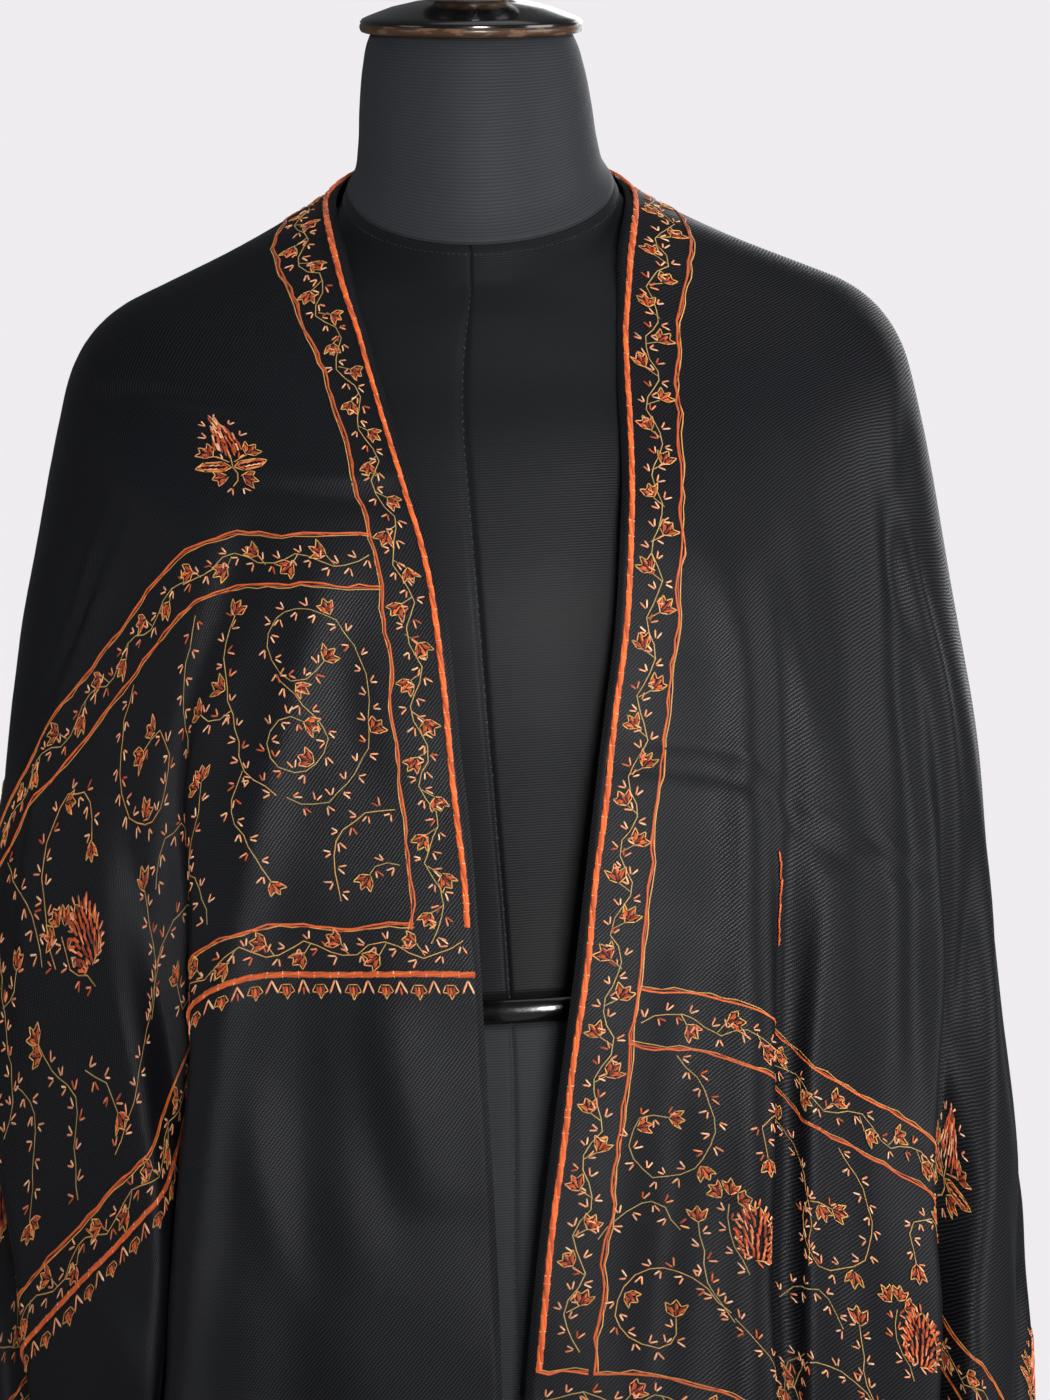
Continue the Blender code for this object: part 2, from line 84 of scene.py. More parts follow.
# One row for each rib: how far along the long edge it starts, measured from the back of the neck; where that
# is, round the hanging girth from the front centre and down from the neck; for how long it keeps its first
# fall; then how steeply it falls, in degrees: at its start, in its middle and far across.
Rib = namedtuple("Rib", "along around down level_run start_fall mid_fall far_fall")
TURNING = 0.08             # how much of the width the fall takes to reach its middle value
LATE_FROM = 0.20           # where across the stole the fall starts towards its far value, and reaches it
LATE_TO = 0.32
THREAD_STEPS = 280         # steps in which a rib is followed across the stole
RIBS = {
    -1: in_mm(Rib, 4, (
        (0, 668, 0, 100, 90, 90, 90), (50, 505, 0, 100, 86, 84, 84), (100, 372, 0, 100, 74, 77, 77),
        (138, 277, 2, 100, 60, 72, 73), (180, 190, 19, 100, 36, 68, 70), (221, 126, 49, 90, 20, 64, 68),
        (260, 85, 81, 90, 9, 59, 64), (347, 31, 160, 90, 0, 50, 54), (477, 7, 287, 90, 0, 50, 50),
        (649, -6, 459, 90, 0, 50, 50), (890, -16, 700, 90, 0, 50, 50))),
    1: in_mm(Rib, 4, (
        (0, 685, 0, 100, 90, 90, 90), (50, 520, 0, 100, 86, 84, 84), (100, 388, 0, 100, 74, 77, 77),
        (138, 285, 3, 100, 60, 72, 73), (180, 200, 21, 100, 38, 68, 70), (221, 144, 54, 80, 26, 64, 68),
        (257, 115, 86, 70, 17, 60, 68), (331, 85, 157, 50, 8, 50, 65), (418, 69, 243, 40, 5, 40, 60),
        (557, 50, 378, 40, 5, 31, 51), (767, 24, 582, 40, 3, 30, 49), (1110, 22, 925, 40, 0, 30, 49))),
}

# One row for each fold down the fronts and sides: where it lies across the stole, how much of the width it
# takes, how deep it is, how far along it starts and is full, how steep its walls are (past 1 they lean under
# the cloth in front), how it drifts across, and how far its ribs slump towards the plumb line.
Fold = namedtuple("Fold", "across span depth starts full hidden drift slump")
FOLD_FLOOR = 0.12          # share of the fold's width, either side of its middle, that is its floor
PLUMB = 88
FOLDS = {
    -1: in_mm(Fold, 5, (
        (210, 118, 29, 360, 620, 1.3, .09, .65), (420, 130, 31, 160, 500, 1.1, 0, 0),
        (580, 130, 32, 140, 500, 1.1, 0, 0))),
    1: in_mm(Fold, 5, (
        (124, 42, 7, 460, 600, .65, .1, .3), (284, 138, 30, 270, 560, 1.08, .07, .76),
        (425, 60, 10, 250, 600, .5, 0, 0), (570, 140, 34, 140, 420, 1.1, 0, 0))),
}
# Folds down the back from the neck: how far along, span and depth, then where across each starts and is full.
BackFold = namedtuple("BackFold", "along span depth starts full")
BACK_FOLDS = in_mm(BackFold, 5, (
    (-98, 46, 20, 220, 550), (-36, 38, 15, 120, 600), (21, 34, 18, 200, 620), (86, 50, 22, 160, 520)))


def column(rows, name):
    """One named column of a table."""
    return np.array([getattr(row, name) for row in rows], dtype=float)


def smooth_through(knots, values, at):
    """A smooth curve through a table's values, with no overshoot worth the name."""
    step = np.diff(knots)
    rise = np.diff(values) / step
    inner = (rise[:-1] * step[1:] + rise[1:] * step[:-1]) / (step[:-1] + step[1:])
    slope = np.concatenate([rise[:1], inner, rise[-1:]])
    i = np.clip(np.searchsorted(knots, at, side="right") - 1, 0, len(step) - 1)
    t = (at - knots[i]) / step[i]
    h = t * t * (3 - 2 * t)
    bend = (1 - t) * slope[i] - t * slope[i + 1]
    return values[i] * (1 - h) + values[i + 1] * h + step[i] * t * (1 - t) * bend


def ramp(low, high, at):
    """0 before low, 1 after high, smooth between."""
    t = np.clip((at - low) / (high - low), 0, 1)
    return t * t * (3 - 2 * t)


def mixed(side, turn, name):
    """A profile's value in the direction `turn`: 0 is the front, pi/2 the side and pi the back."""
    c = np.cos(turn)
    middle = np.where(c > 0, getattr(FRONT, name), getattr(BACK, name))
    return c * c * middle + np.sin(turn) ** 2 * getattr(SIDES[side], name)


def neck_height(side, turn):
    """The neck loop's height: it slopes evenly from the back of the neck down to the front."""
    c = np.cos(turn)
    ends = np.where(c > 0, FRONT.neck_up, BACK.neck_up)
    return TOP + SIDES[side].neck_up + (ends - SIDES[side].neck_up) * np.abs(c)


def oval(turn, half, front, back, square):
    """A point of an oval seen from above, more square the higher `square` is. The front is towards -y."""
    s, c = np.sin(turn), np.cos(turn)
    reach = np.where(c > 0, front, back)
    return half * np.sign(s) * np.abs(s) ** (2 / square), -reach * np.sign(c) * np.abs(c) ** (2 / square)


def shelf(side, turn):
    """In one direction: the point at the neck, the way out and how far, the corner's height, the length."""
    (neck_x, neck_y), (corner_x, corner_y) = (
        oval(turn, side * getattr(SIDES[side], name), getattr(FRONT, name), getattr(BACK, name), square)
        for name, square in (("neck_out", 2), ("corner_out", SQUARE)))
    neck_z, corner_z = neck_height(side, turn), TOP + mixed(side, turn, "corner_up")
    reach = np.hypot(corner_x - neck_x, corner_y - neck_y)
    way = (corner_x - neck_x) / reach, (corner_y - neck_y) / reach
    return (neck_x, neck_y, neck_z), way, reach, corner_z, np.hypot(reach, neck_z - corner_z)


def cape_point(side, turn, low):
    """The point of the draped shape in the direction `turn`, `low` metres below TOP where it hangs."""
    neck, way, reach, corner_z, length = shelf(side, turn)
    past = low - (TOP - corner_z)                   # distance past the corner, negative before it
    rounding = np.minimum(mixed(side, turn, "rounding"), 0.9 * length)
    swell, fall, flare = (mixed(side, turn, name) for name in ("swell", "fall", "flare"))

    def before(e):
        return reach * (1 + e / length), corner_z - (neck[2] - corner_z) * e / length

    def after(e):
        return reach + swell * (1 - np.exp(-np.maximum(e, 0) / fall)) + flare * e, corner_z - e

    q = np.clip((past + rounding) / (2 * rounding), 0, 1)
    bend = [(1 - q) ** 2 * a + 2 * q * (1 - q) * b + q**2 * c
            for a, b, c in zip(before(-rounding), (reach, corner_z), after(rounding))]
    r, z = (np.where(past < -rounding, a, np.where(past > rounding, c, b))
            for a, b, c in zip(before(past), bend, after(past)))
    return np.stack([neck[0] + way[0] * r, neck[1] + way[1] * r, z], axis=-1)


def girth(side):
    """Distances round the hanging girth from the front centre, and the directions they belong to."""
    turn = np.linspace(-0.30, math.pi, 900)
    points = cape_point(side, turn, np.full_like(turn, HANG))
    around = np.concatenate([[0], np.cumsum(np.hypot(np.diff(points[:, 0]), np.diff(points[:, 1])))])
    return around - np.interp(0.0, turn, around), turn


def half_stole(side, along, across):
    """Points of one half of the stole, on a grid of distances along it and across it."""
    ribs = RIBS[side]
    around, turns = girth(side)
    rib = {name: smooth_through(column(ribs, "along"), column(ribs, name), along)[:, None]
           for name in Rib._fields}
    starts = np.append(around[-1], column(ribs, "around")[1:])       # the first rib is at the back centre
    start_around = smooth_through(column(ribs, "along"), starts, along)[:, None]

    fine = np.linspace(0, CUT_WIDTH, THREAD_STEPS + 1)
    bend = ramp(0, TURNING, fine[None, :] - rib["level_run"])
    late = ramp(LATE_FROM, LATE_TO, fine[None, :])
    fall = rib["start_fall"] + (rib["mid_fall"] - rib["start_fall"]) * bend
    fall = fall + (rib["far_fall"] - rib["mid_fall"]) * late
    shown, inward = np.ones_like(fall), np.zeros_like(fall)
    for fold in FOLDS[side]:
        grown = ramp(fold.starts, fold.full, along)[:, None]
        middle = fold.across + fold.drift * (along - fold.full)[:, None]
        t = np.clip((0.5 - np.abs(fine[None, :] - middle) / fold.span) / (0.5 - FOLD_FLOOR), 0, 1)
        shown = shown * (1 - fold.hidden * grown * 4 * t * (1 - t))
        share = grown * t * t * (3 - 2 * t)
        inward = inward + fold.depth * share
        fall = fall + fold.slump * share * (PLUMB - fall)

    def summed(rate):
        total = np.cumsum((rate[:, 1:] + rate[:, :-1]) / 2, axis=1) * fine[1]
        return np.concatenate([np.zeros((len(along), 1)), total], axis=1)

    fall = np.radians(fall)
    place = np.interp(start_around + summed(np.cos(fall) * shown), around, turns)
    *_, corner_z, length = shelf(side, np.interp(start_around, around, turns))
    low = TOP - corner_z - length + rib["down"] + summed(np.sin(fall))
    for fold in BACK_FOLDS:
        off = np.abs(side * along - fold.along) / fold.span
        near = np.cos(math.pi * np.clip(off, 0, 0.5)) ** 2
        inward = inward + fold.depth * near[:, None] * ramp(fold.starts, fold.full, fine)[None, :]

    points = cape_point(side, place, low)
    ahead = cape_point(side, place + 0.01, low) - points
    outward = np.stack([ahead[..., 1], -ahead[..., 0]], axis=-1) * side
    outward /= np.maximum(np.linalg.norm(outward, axis=-1, keepdims=True), 1e-9)
    points[..., :2] -= outward * inward[..., None]
    placed = [[np.interp(across, fine, row[:, k]) for k in range(3)] for row in points]
    return np.stack(placed).transpose(0, 2, 1)


# Pressed creases and soft hollows: where the middle of each is, half its length, half its breadth, how far it
# stands out (in, if below 0), and which way it runs, in degrees from across the stole towards its left end.
Crease = namedtuple("Crease", "along across run breadth height slant")
CREASES = in_mm(Crease, 5, (
    (-322, 46, 62, 3.5, 2.2, 2), (-331, 50, 66, 6, -2.6, 3), (-318, 205, 56, 4.5, -3.4, -24),
    (-311, 213, 48, 5, 1.6, -24), (-250, 120, 70, 8, -3.6, 35), (-290, 330, 70, 8, -3, -40),
    (-455, 55, 50, 14, -2, 80), (-640, 60, 110, 13, -2.2, 84), (-690, 110, 90, 11, 2, 78),
    (-600, 300, 100, 10, 2.2, 70), (-420, 520, 90, 11, -3, 60), (454.5, 60, 95, 3.4, 1.8, 3),
    (460, 62, 95, 4.8, -3.6, 3), (457, 160, 60, 4.8, -3.6, -22), (450, 166, 56, 4.5, 2.2, -22),
    (330, 100, 90, 17, -2, 62), (300, 200, 90, 13, -2.8, 50), (520, 180, 120, 12, 2.2, 82),
    (700, 60, 120, 14, -2, 85), (760, 180, 130, 11, -2.2, 84), (560, 480, 110, 12, -3, 70),
    (860, 420, 120, 12, 2.6, 80), (-60, 300, 90, 5, -2.4, 8), (-52, 302, 88, 5, 1.6, 8),
    (70, 430, 80, 6, -2.6, -14), (40, 180, 70, 12, -2.2, 30), (-130, 450, 80, 10, -2.8, 50)))
# Long soft folds that run down the cloth: half the breadth of each, how far its crest stands out, and the
# places that it goes through, each along and then across the stole.
Drape = namedtuple("Drape", "breadth height path")
DRAPES = in_mm(Drape, 2, (
    (12, 4, (345, 50, 400, 70, 470, 80, 570, 90, 670, 101, 860, 116)),
    (12, -4.2, (345, 82, 420, 98, 510, 108, 600, 122, 740, 137, 860, 146)),
    (20, 3, (340, 132, 400, 141, 490, 147, 580, 169, 700, 194)),
    (14, -5.2, (210, 160, 300, 184, 380, 193, 470, 193, 580, 212)),
    (20, 3.4, (180, 110, 240, 160, 300, 226, 390, 268, 500, 325)),
    (14, -3.2, (540, 54, 620, 58, 740, 61, 860, 66)), (25, -3, (280, 340, 380, 372, 480, 404, 640, 420)),
    (14, 4.2, (-355, 56, -400, 70, -490, 105, -585, 130, -680, 145, -840, 170)),
    (14, -4.6, (-340, 96, -400, 124, -440, 156, -500, 186, -560, 190)),
    (16, 3.8, (-290, 186, -335, 214, -352, 248, -385, 274, -480, 322)),
    (18, -3, (-560, 83, -620, 88, -730, 95, -850, 102)), (18, 2, (-590, 50, -645, 41, -700, 28)),
    (24, -2.8, (-250, 330, -350, 372, -450, 400, -600, 430)), (22.5, 2.6, (-90, 200, -30, 330, -50, 480)),
    (21.3, -2.6, (110, 220, 80, 340, 120, 520)), (25, 2.8, (-190, 360, -150, 520, -170, 640))))
# Slow waves over the whole cloth, which keep it from lying dead smooth.
Wave = namedtuple("Wave", "along_length across_length height start")
WAVES = in_mm(Wave, 3, ((310, 230, 1.2, .4), (190, -340, 1, 2.1), (127, 171, .7, 4), (-83, 119, .4, 1.3)))


def draped(u, w, drape):
    """A long soft fold over the cloth. One whose path is mostly across the stole is followed that way."""
    path = np.array(drape.path).reshape(-1, 2) / 1000
    if np.ptp(path[:, 0]) < np.ptp(path[:, 1]):
        u, w, path = w, u, path[:, ::-1]
    path = path[np.argsort(path[:, 0])]
    start, end = path[0, 0], path[-1, 0]
    middle = smooth_through(path[:, 0], path[:, 1], np.clip(u, start, end).ravel()).reshape(u.shape)
    t = np.clip((u - start) / (end - start), 0, 1)
    fade = np.clip(1 - (2 * t - 1) ** 6, 0, 1)
    return drape.height * fade * np.exp(-(((w - middle) / drape.breadth) ** 2))


def pressed(along, across):
    """How far each point of the cloth stands out of its drape."""
    u, w = np.meshgrid(along, across, indexing="ij")
    out = sum(draped(u, w, drape) for drape in DRAPES)
    for crease in CREASES:
        c, s = math.cos(math.radians(crease.slant)), math.sin(math.radians(crease.slant))
        du, dw = u - crease.along, w - crease.across
        on, off = dw * c + du * s, du * c - dw * s
        fade = np.clip(1 - (on / crease.run) ** 2, 0, 1) ** 1.5
        out += crease.height * fade * np.exp(-(((off - 0.12 * on * on / crease.run) / crease.breadth) ** 2))
    free = ramp(0.12, 0.30, np.abs(u)) * 0.7 + 0.3 * ramp(0.10, 0.45, w)
    for wave in WAVES:
        turn = 2 * math.pi * (u / wave.along_length + w / wave.across_length) + wave.start
        out += wave.height * free * np.sin(turn)
    selvage = np.exp(-w / 0.016) + np.exp(-(CUT_WIDTH - w) / 0.016)
    return out + 0.0009 * selvage * np.sin(2 * math.pi * u / 0.087 + 1.5 * np.sin(u * 23)) * free


def outward_normals(points):
    """The side of the cloth that faces away from the form, at each point of its grid."""
    normal = np.cross(np.gradient(points, axis=0), np.gradient(points, axis=1))
    return normal / np.linalg.norm(normal, axis=-1, keepdims=True)


def spaced(start, *stretches):
    """Places along a line from its start: each stretch is where it ends and how long its cells are."""
    places = [start]
    for end, cell in stretches:
        count = max(1, round((end - start) / cell))
        places += [start + (end - start) * (i + 1) / count for i in range(count)]
        start = end
    return np.array(places)


def grid_mesh(name, points, closed=False):
    """A mesh of squares over a grid of points, which may be closed round and at its two ends."""
    rows, columns = points.shape[:2]
    index = np.arange(rows * columns).reshape(rows, columns)
    around = np.concatenate([index, index[:, :1]], axis=1) if closed else index
    corners = around[:-1, :-1], around[1:, :-1], around[1:, 1:], around[:-1, 1:]
    faces = np.stack(corners, axis=-1).reshape(-1, 4).tolist()
    if closed:
        faces += [index[0].tolist(), index[-1, ::-1].tolist()]
    mesh = bpy.data.meshes.new(name)
    mesh.from_pydata(points.reshape(-1, 3).tolist(), [], faces)
    mesh.shade_smooth()
    return mesh


def in_scene(name, data):
    """An object in the scene."""
    thing = bpy.data.objects.new(name, data)
    bpy.context.scene.collection.objects.link(thing)
    return thing


def keep(mesh, label, kind, values):
    """Keeps a value on each point of a mesh."""
    field = {"FLOAT": "value", "FLOAT_VECTOR": "vector", "FLOAT_COLOR": "color"}[kind]
    values = np.array(values, dtype=np.float32).ravel()
    mesh.attributes.new(label, kind, "POINT").data.foreach_set(field, values)


along = spaced(RIGHT_END, (-0.14, 0.0066), (0.14, 0.0050), (LEFT_END, 0.0070))
across = spaced(0, (0.09, 0.0050), (0.36, 0.0038), (CUT_WIDTH, 0.0058))
cloth_points = np.concatenate([half_stole(-1, -along[along < 0], across),
                               half_stole(1, along[along >= 0], across)])
base_low, base_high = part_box("base")
LEAN = math.radians(3.3)                                # of the form, to the wearer's right
STEM_X = 0.680 * math.tan(LEAN)                         # from the foot of the neck to the pole
FORM_X = (base_low[0] + base_high[0]) / 2 - STEM_X      # where the axis of the form stands in the frame
cloth_points[..., 0] += FORM_X
cloth_points += outward_normals(cloth_points) * pressed(along, across)[..., None]

stole_mesh = grid_mesh("stole", cloth_points)
cut = stole_mesh.uv_layers.new(name="cut")
flat = np.stack(np.meshgrid(along, across, indexing="ij"), axis=-1).reshape(-1, 2)
corners = np.empty(len(stole_mesh.loops), dtype=np.int32)
stole_mesh.loops.foreach_get("vertex_index", corners)
cut.data.foreach_set("uv", flat[corners].astype(np.float32).ravel())
keep(stole_mesh, "outward", "FLOAT_VECTOR", outward_normals(cloth_points))
pattern = in_scene("cut_pattern", stole_mesh.copy())      # what the needlework is laid on
stole = in_scene("stole", stole_mesh)
wall = stole.modifiers.new("wall", "SOLIDIFY")
wall.thickness = CLOTH_THICKNESS
wall.offset = 0.0


def plug(socket, value):
    """Links an input to an output or to a node's first output, or sets its value."""
    value = value.outputs[0] if isinstance(value, bpy.types.Node) else value
    if isinstance(value, bpy.types.NodeSocket):
        socket.id_data.links.new(value, socket)
    else:
        socket.default_value = value


def add_node(tree, kind, settings=None, **values):
    """A node with its settings, its inputs plugged by name or by number, as i0. Its kind is written without
    the family it comes from."""
    families = ("GeometryNode", "ShaderNode", "FunctionNode") if tree.type == "GEOMETRY" else ("ShaderNode",)
    node = tree.nodes.new(next(family + kind for family in families if hasattr(bpy.types, family + kind)))
    for key, value in (settings or {}).items():
        setattr(node, key, value)
    for key, value in values.items():
        plug(node.inputs[int(key[1:]) if key[1:].isdigit() else key.replace("_", " ")], value)
    return node


def calc(operation, *values):
    """A sum of numbers, in the node tree of those that come from a node."""
    tree = next(value.id_data for value in values if hasattr(value, "id_data"))
    inputs = {f"i{k}": value for k, value in enumerate(values)}
    return add_node(tree, "Math", {"operation": operation}, **inputs)


def noise(place, scale, detail, roughness=0.5):
    """Soft random patches, finer the higher the scale."""
    return add_node(place.id_data, "TexNoise", Vector=place, Scale=scale, Detail=detail, Roughness=roughness)


def new_material(name, **values):
    """A material, its node tree and its shader with the values set."""
    material = bpy.data.materials.new(name)
    material.use_nodes = True
    shader = material.node_tree.nodes["Principled BSDF"]
    for key, value in values.items():
        shader.inputs[key.replace("_", " ")].default_value = value
    return material, material.node_tree, shader


def blended(share, low, high):
    """A colour between two, by a share from 0 to 1."""
    mix = add_node(share.id_data, "Mix", {"data_type": "RGBA"}, i0=share, i6=(*low, 1.0), i7=(*high, 1.0))
    return mix.outputs[2]


def raised(shader, height, strength, depth):
    """Gives the surface a small relief."""
    bump = add_node(shader.id_data, "Bump", Height=height, Strength=strength, Distance=depth)
    plug(shader.inputs["Normal"], bump)


TWILL_ANGLE = math.radians(39)      # of the ribs from straight along the stole
TWILL_PITCH = 0.0015


def twill_material():
    """Black wool twill: diagonal ribs of uneven yarns, smoother than the furrows and coloured lighter than
    them: the dark of the furrows is painted shade between the yarns.
    """
    material, tree, shader = new_material("black_twill", Specular_IOR_Level=0.155, Sheen_Weight=0.01,
                                          Sheen_Roughness=0.30, Sheen_Tint=(0.75, 0.82, 1.0, 1.0))
    place = add_node(tree, "UVMap", {"uv_map": "cut"})
    split = add_node(tree, "SeparateXYZ", i0=place).outputs
    lean, rise = math.sin(TWILL_ANGLE), math.cos(TWILL_ANGLE)
    diagonal, crossing = (calc("MULTIPLY_ADD", split[0], first, calc("MULTIPLY", split[1], second))
                          for first, second in ((lean, rise), (rise, -lean)))
    shift = calc("MULTIPLY", noise(place, 130.0, 2.0), 0.9)
    turns = calc("ADD", calc("DIVIDE", diagonal, TWILL_PITCH), shift)
    rib = calc("SINE", calc("MULTIPLY", turns, 2 * math.pi))
    steps = calc("MULTIPLY", calc("DIVIDE", crossing, TWILL_PITCH), 2 * math.pi)
    float_over = calc("MULTIPLY", calc("SINE", calc("ADD", steps, calc("MULTIPLY", turns, 2.1))), 0.35)
    swell = calc("MULTIPLY_ADD", calc("ADD", rib, float_over), 0.37, 0.5)
    ribs = calc("POWER", calc("MAXIMUM", swell, 0.0), 1.7)
    yarn = noise(add_node(tree, "Mapping", Vector=place, Scale=(260.0, 1500.0, 1.0)), 1.0, 2.0)
    # The colour darkens the furrows between the ribs: painted shade between the yarns. Uneven yarns and
    # patches of wear vary it at random.
    light = calc("MULTIPLY_ADD", yarn, 0.3, calc("MULTIPLY_ADD", ribs, 1.2, -0.36))
    wear_and_furrow_shade = calc("MULTIPLY_ADD", noise(place, 14.0, 3.0), 0.12, light)
    plug(shader.inputs["Base Color"], blended(wear_and_furrow_shade, (0.0001, 0.0001, 0.0002), (0.0185, 0.0197, 0.0262)))
    plug(shader.inputs["Roughness"], calc("MULTIPLY_ADD", ribs, -0.30, 0.62))
    raised(shader, calc("MULTIPLY_ADD", yarn, 0.3, ribs), 0.35, 0.00022)
    return material


stole.data.materials.append(twill_material())
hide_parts("stole_front_right", "stole_shoulder_right", "stole_back", "stole_shoulder_left",
            "stole_front_left")
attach(stole, "root")

# === how the needlework is laid
# All of it is worked on the flat cloth before the stole is worn, so it is drawn flat here. A place on the cut
# cloth is a complex number, along it and then across it, and z is above it. Node trees make the threads and
# stitches and lay them on the drape.
THREADS = {
    "flame": (0.74, 0.125, 0.018), "rust": (0.52, 0.075, 0.012), "brick": (0.26, 0.030, 0.008),
    "peach": (1.00, 0.500, 0.280), "salmon": (0.94, 0.320, 0.135), "gold": (0.68, 0.360, 0.085),
    "olive": (0.50, 0.330, 0.095),
}


def point_value(tree, label, kind="FLOAT"):
    """A value kept on each point of a geometry."""
    return add_node(tree, "InputNamedAttribute", {"data_type": kind}, Name=label)


def vector_sum(operation, first, second):
    """A sum of two vectors, or of a vector and a scale."""
    values = {"i0": first, "i3" if operation == "SCALE" else "i1": second}
    return add_node(first.id_data, "VectorMath", {"operation": operation}, **values)


def object_shape(tree, thing):
    """The geometry of an object, where it is drawn."""
    return add_node(tree, "ObjectInfo", {"transform_space": "ORIGINAL"}, Object=thing).outputs["Geometry"]


def on_drape(shape):
    """Lays what was made flat on the draped cloth, with its height above it kept."""
    tree = shape.id_data
    here = add_node(tree, "InputPosition")
    inside = vector_sum("MINIMUM", here, (LEFT_END - 0.001, CUT_WIDTH - 0.0006, 1.0))
    inside = vector_sum("MAXIMUM", inside, (RIGHT_END + 0.001, 0.0006, -1.0))
    split = add_node(tree, "SeparateXYZ", i0=inside).outputs
    place = add_node(tree, "CombineXYZ", X=split[0], Y=split[1])
    cloth, where = object_shape(tree, pattern), point_value(tree, "cut", "FLOAT_VECTOR")
    vector = {"data_type": "FLOAT_VECTOR"}
    point, out = (add_node(tree, "SampleUVSurface", vector, i0=cloth, i1=value, i2=where, i3=place)
                  for value in (here, point_value(tree, "outward", "FLOAT_VECTOR")))
    laid = vector_sum("ADD", point, vector_sum("SCALE", out, calc("ADD", split[2], CLOTH_THICKNESS / 2)))
    return add_node(tree, "SetPosition", Geometry=shape, Position=laid)


def making_tree(name, **inputs):
    """A tree that makes threads or stitches, out of what it is given."""
    tree = bpy.data.node_groups.new(name, "GeometryNodeTree")
    for label, value in {"Geometry": None, "Material": None, **inputs}.items():
        kind = {int: "Int", float: "Float"}.get(type(value), label)
        socket = tree.interface.new_socket(label, in_out="INPUT", socket_type="NodeSocket" + kind)
        if value is not None:
            socket.default_value = value
    tree.interface.new_socket("Geometry", in_out="OUTPUT", socket_type="NodeSocketGeometry")
    return tree, tree.nodes.new("NodeGroupInput").outputs


def end_tree(given, shape, on_cloth=True):
    """Makes the instances real, lays them on the cloth if that is where they belong, and colours them."""
    tree = shape.id_data
    real = add_node(tree, "RealizeInstances", Geometry=shape)
    laid = on_drape(real) if on_cloth else real
    coloured = add_node(tree, "SetMaterial", Geometry=laid, Material=given["Material"])
    plug(tree.nodes.new("NodeGroupOutput").inputs[0], coloured)
    return tree


def thread_tree():
    """Threads along lines: a flattened round section swept along each, as thick as its points say."""
    tree, given = making_tree("lay_threads", Sides=4, Flatness=0.8)
    lines = add_node(tree, "MeshToCurve", Mesh=given["Geometry"])
    radius = calc("MULTIPLY", point_value(tree, "thickness"), 0.5)
    thick = add_node(tree, "SetCurveRadius", Curve=lines, Radius=radius)
    upright = add_node(tree, "SetCurveNormal", {"mode": "Z_UP"}, Curve=thick)
    ring = add_node(tree, "CurvePrimitiveCircle", Resolution=given["Sides"], Radius=1.0)
    flat_ring = add_node(tree, "CombineXYZ", X=1.0, Y=given["Flatness"], Z=1.0)
    section = add_node(tree, "Transform", Geometry=ring, Scale=flat_ring)
    swept = add_node(tree, "CurveToMesh", Curve=upright, Profile_Curve=section, Fill_Caps=True,
                     Scale=add_node(tree, "InputRadius"))
    return end_tree(given, swept)


def random_value(seed, low, high):
    """A random number for each point."""
    drawn = add_node(seed.id_data, "RandomValue", {"data_type": "FLOAT"}, Seed=seed, i2=low, i3=high)
    return drawn.outputs[1]


def stitch_tree():
    """Stitches: one for each point, turned to its aim, as long and thick as the point says."""
    tree, given = making_tree("sew_stitches", Jitter=0.10, Seed=7)
    stray = random_value(given["Seed"], -1.0, 1.0)
    aim = calc("MULTIPLY_ADD", stray, given["Jitter"], point_value(tree, "aim"))
    width = point_value(tree, "width")
    height = calc("MULTIPLY", width, 0.62)
    size = add_node(tree, "CombineXYZ", X=point_value(tree, "length"), Y=width, Z=height)
    return end_tree(given, add_node(
        tree, "InstanceOnPoints", Points=given["Geometry"], Instance=object_shape(tree, stitch),
        Rotation=add_node(tree, "CombineXYZ", Z=aim), Scale=size))


def stitch_form():
    """One stitch of unit length and width, full in the middle and drawn in where it enters the cloth."""
    sides = 5
    circle = [cmath.rect(1, 2 * math.pi * i / sides) for i in range(sides)]
    rings = [(x, radius * p.real, radius * p.imag + 0.1)
             for x, radius in ((-0.36, 0.44), (0.30, 0.50)) for p in circle]
    points = [(-0.5, 0.0, -0.25), *rings, (0.5, 0.0, -0.25)]
    faces = []
    for i, j in zip(range(1, sides + 1), (*range(2, sides + 1), 1)):
        faces += [(0, j, i), (i, j, sides + j, sides + i), (len(points) - 1, sides + i, sides + j)]
    mesh = bpy.data.meshes.new("stitch_form")
    mesh.from_pydata(points, [], faces)
    mesh.shade_smooth()
    return bpy.data.objects.new("stitch_form", mesh)


def thread_material(name, roughness, fuzz):
    """Dyed thread: each takes the colour kept on its points, with lighter and darker fibres."""
    material, tree, shader = new_material(name, Roughness=roughness, Specular_IOR_Level=0.35,
                                          Sheen_Weight=0.12)
    place = add_node(tree, "TexCoord").outputs["Object"]
    fibres, patches = noise(place, 2600.0, 2.0), noise(place, 240.0, 1.0)
    shade = calc("MULTIPLY", calc("MULTIPLY_ADD", fibres, fuzz, 1.0 - fuzz * 0.5),
                 calc("MULTIPLY_ADD", patches, 0.5, 0.72))
    dye = add_node(tree, "Attribute", {"attribute_name": "dye"})
    plug(shader.inputs["Base Color"], vector_sum("SCALE", dye, shade))
    raised(shader, fibres, 0.5, 0.00015)
    return material


def sewn_mesh(name, plan, tree, values):
    """What a node tree makes of a plan, as a piece that rides with the stole or the form."""
    carrier = in_scene(name + "_plan", plan)
    maker = carrier.modifiers.new("needlework", "NODES")
    maker.node_group = tree
    inputs = {item.name: item.identifier for item in tree.interface.items_tree if item.in_out == "INPUT"}
    for label, value in values.items():
        maker[inputs[label]] = value
    graph = bpy.context.evaluated_depsgraph_get()
    mesh = bpy.data.meshes.new_from_object(carrier.evaluated_get(graph), depsgraph=graph)
    mesh.name = name
    mesh.shade_smooth()
    bpy.data.objects.remove(carrier, do_unlink=True)
    piece = in_scene(name, mesh)
    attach(piece, "root")
    return piece


draw = random.Random(11)
vary = draw.uniform


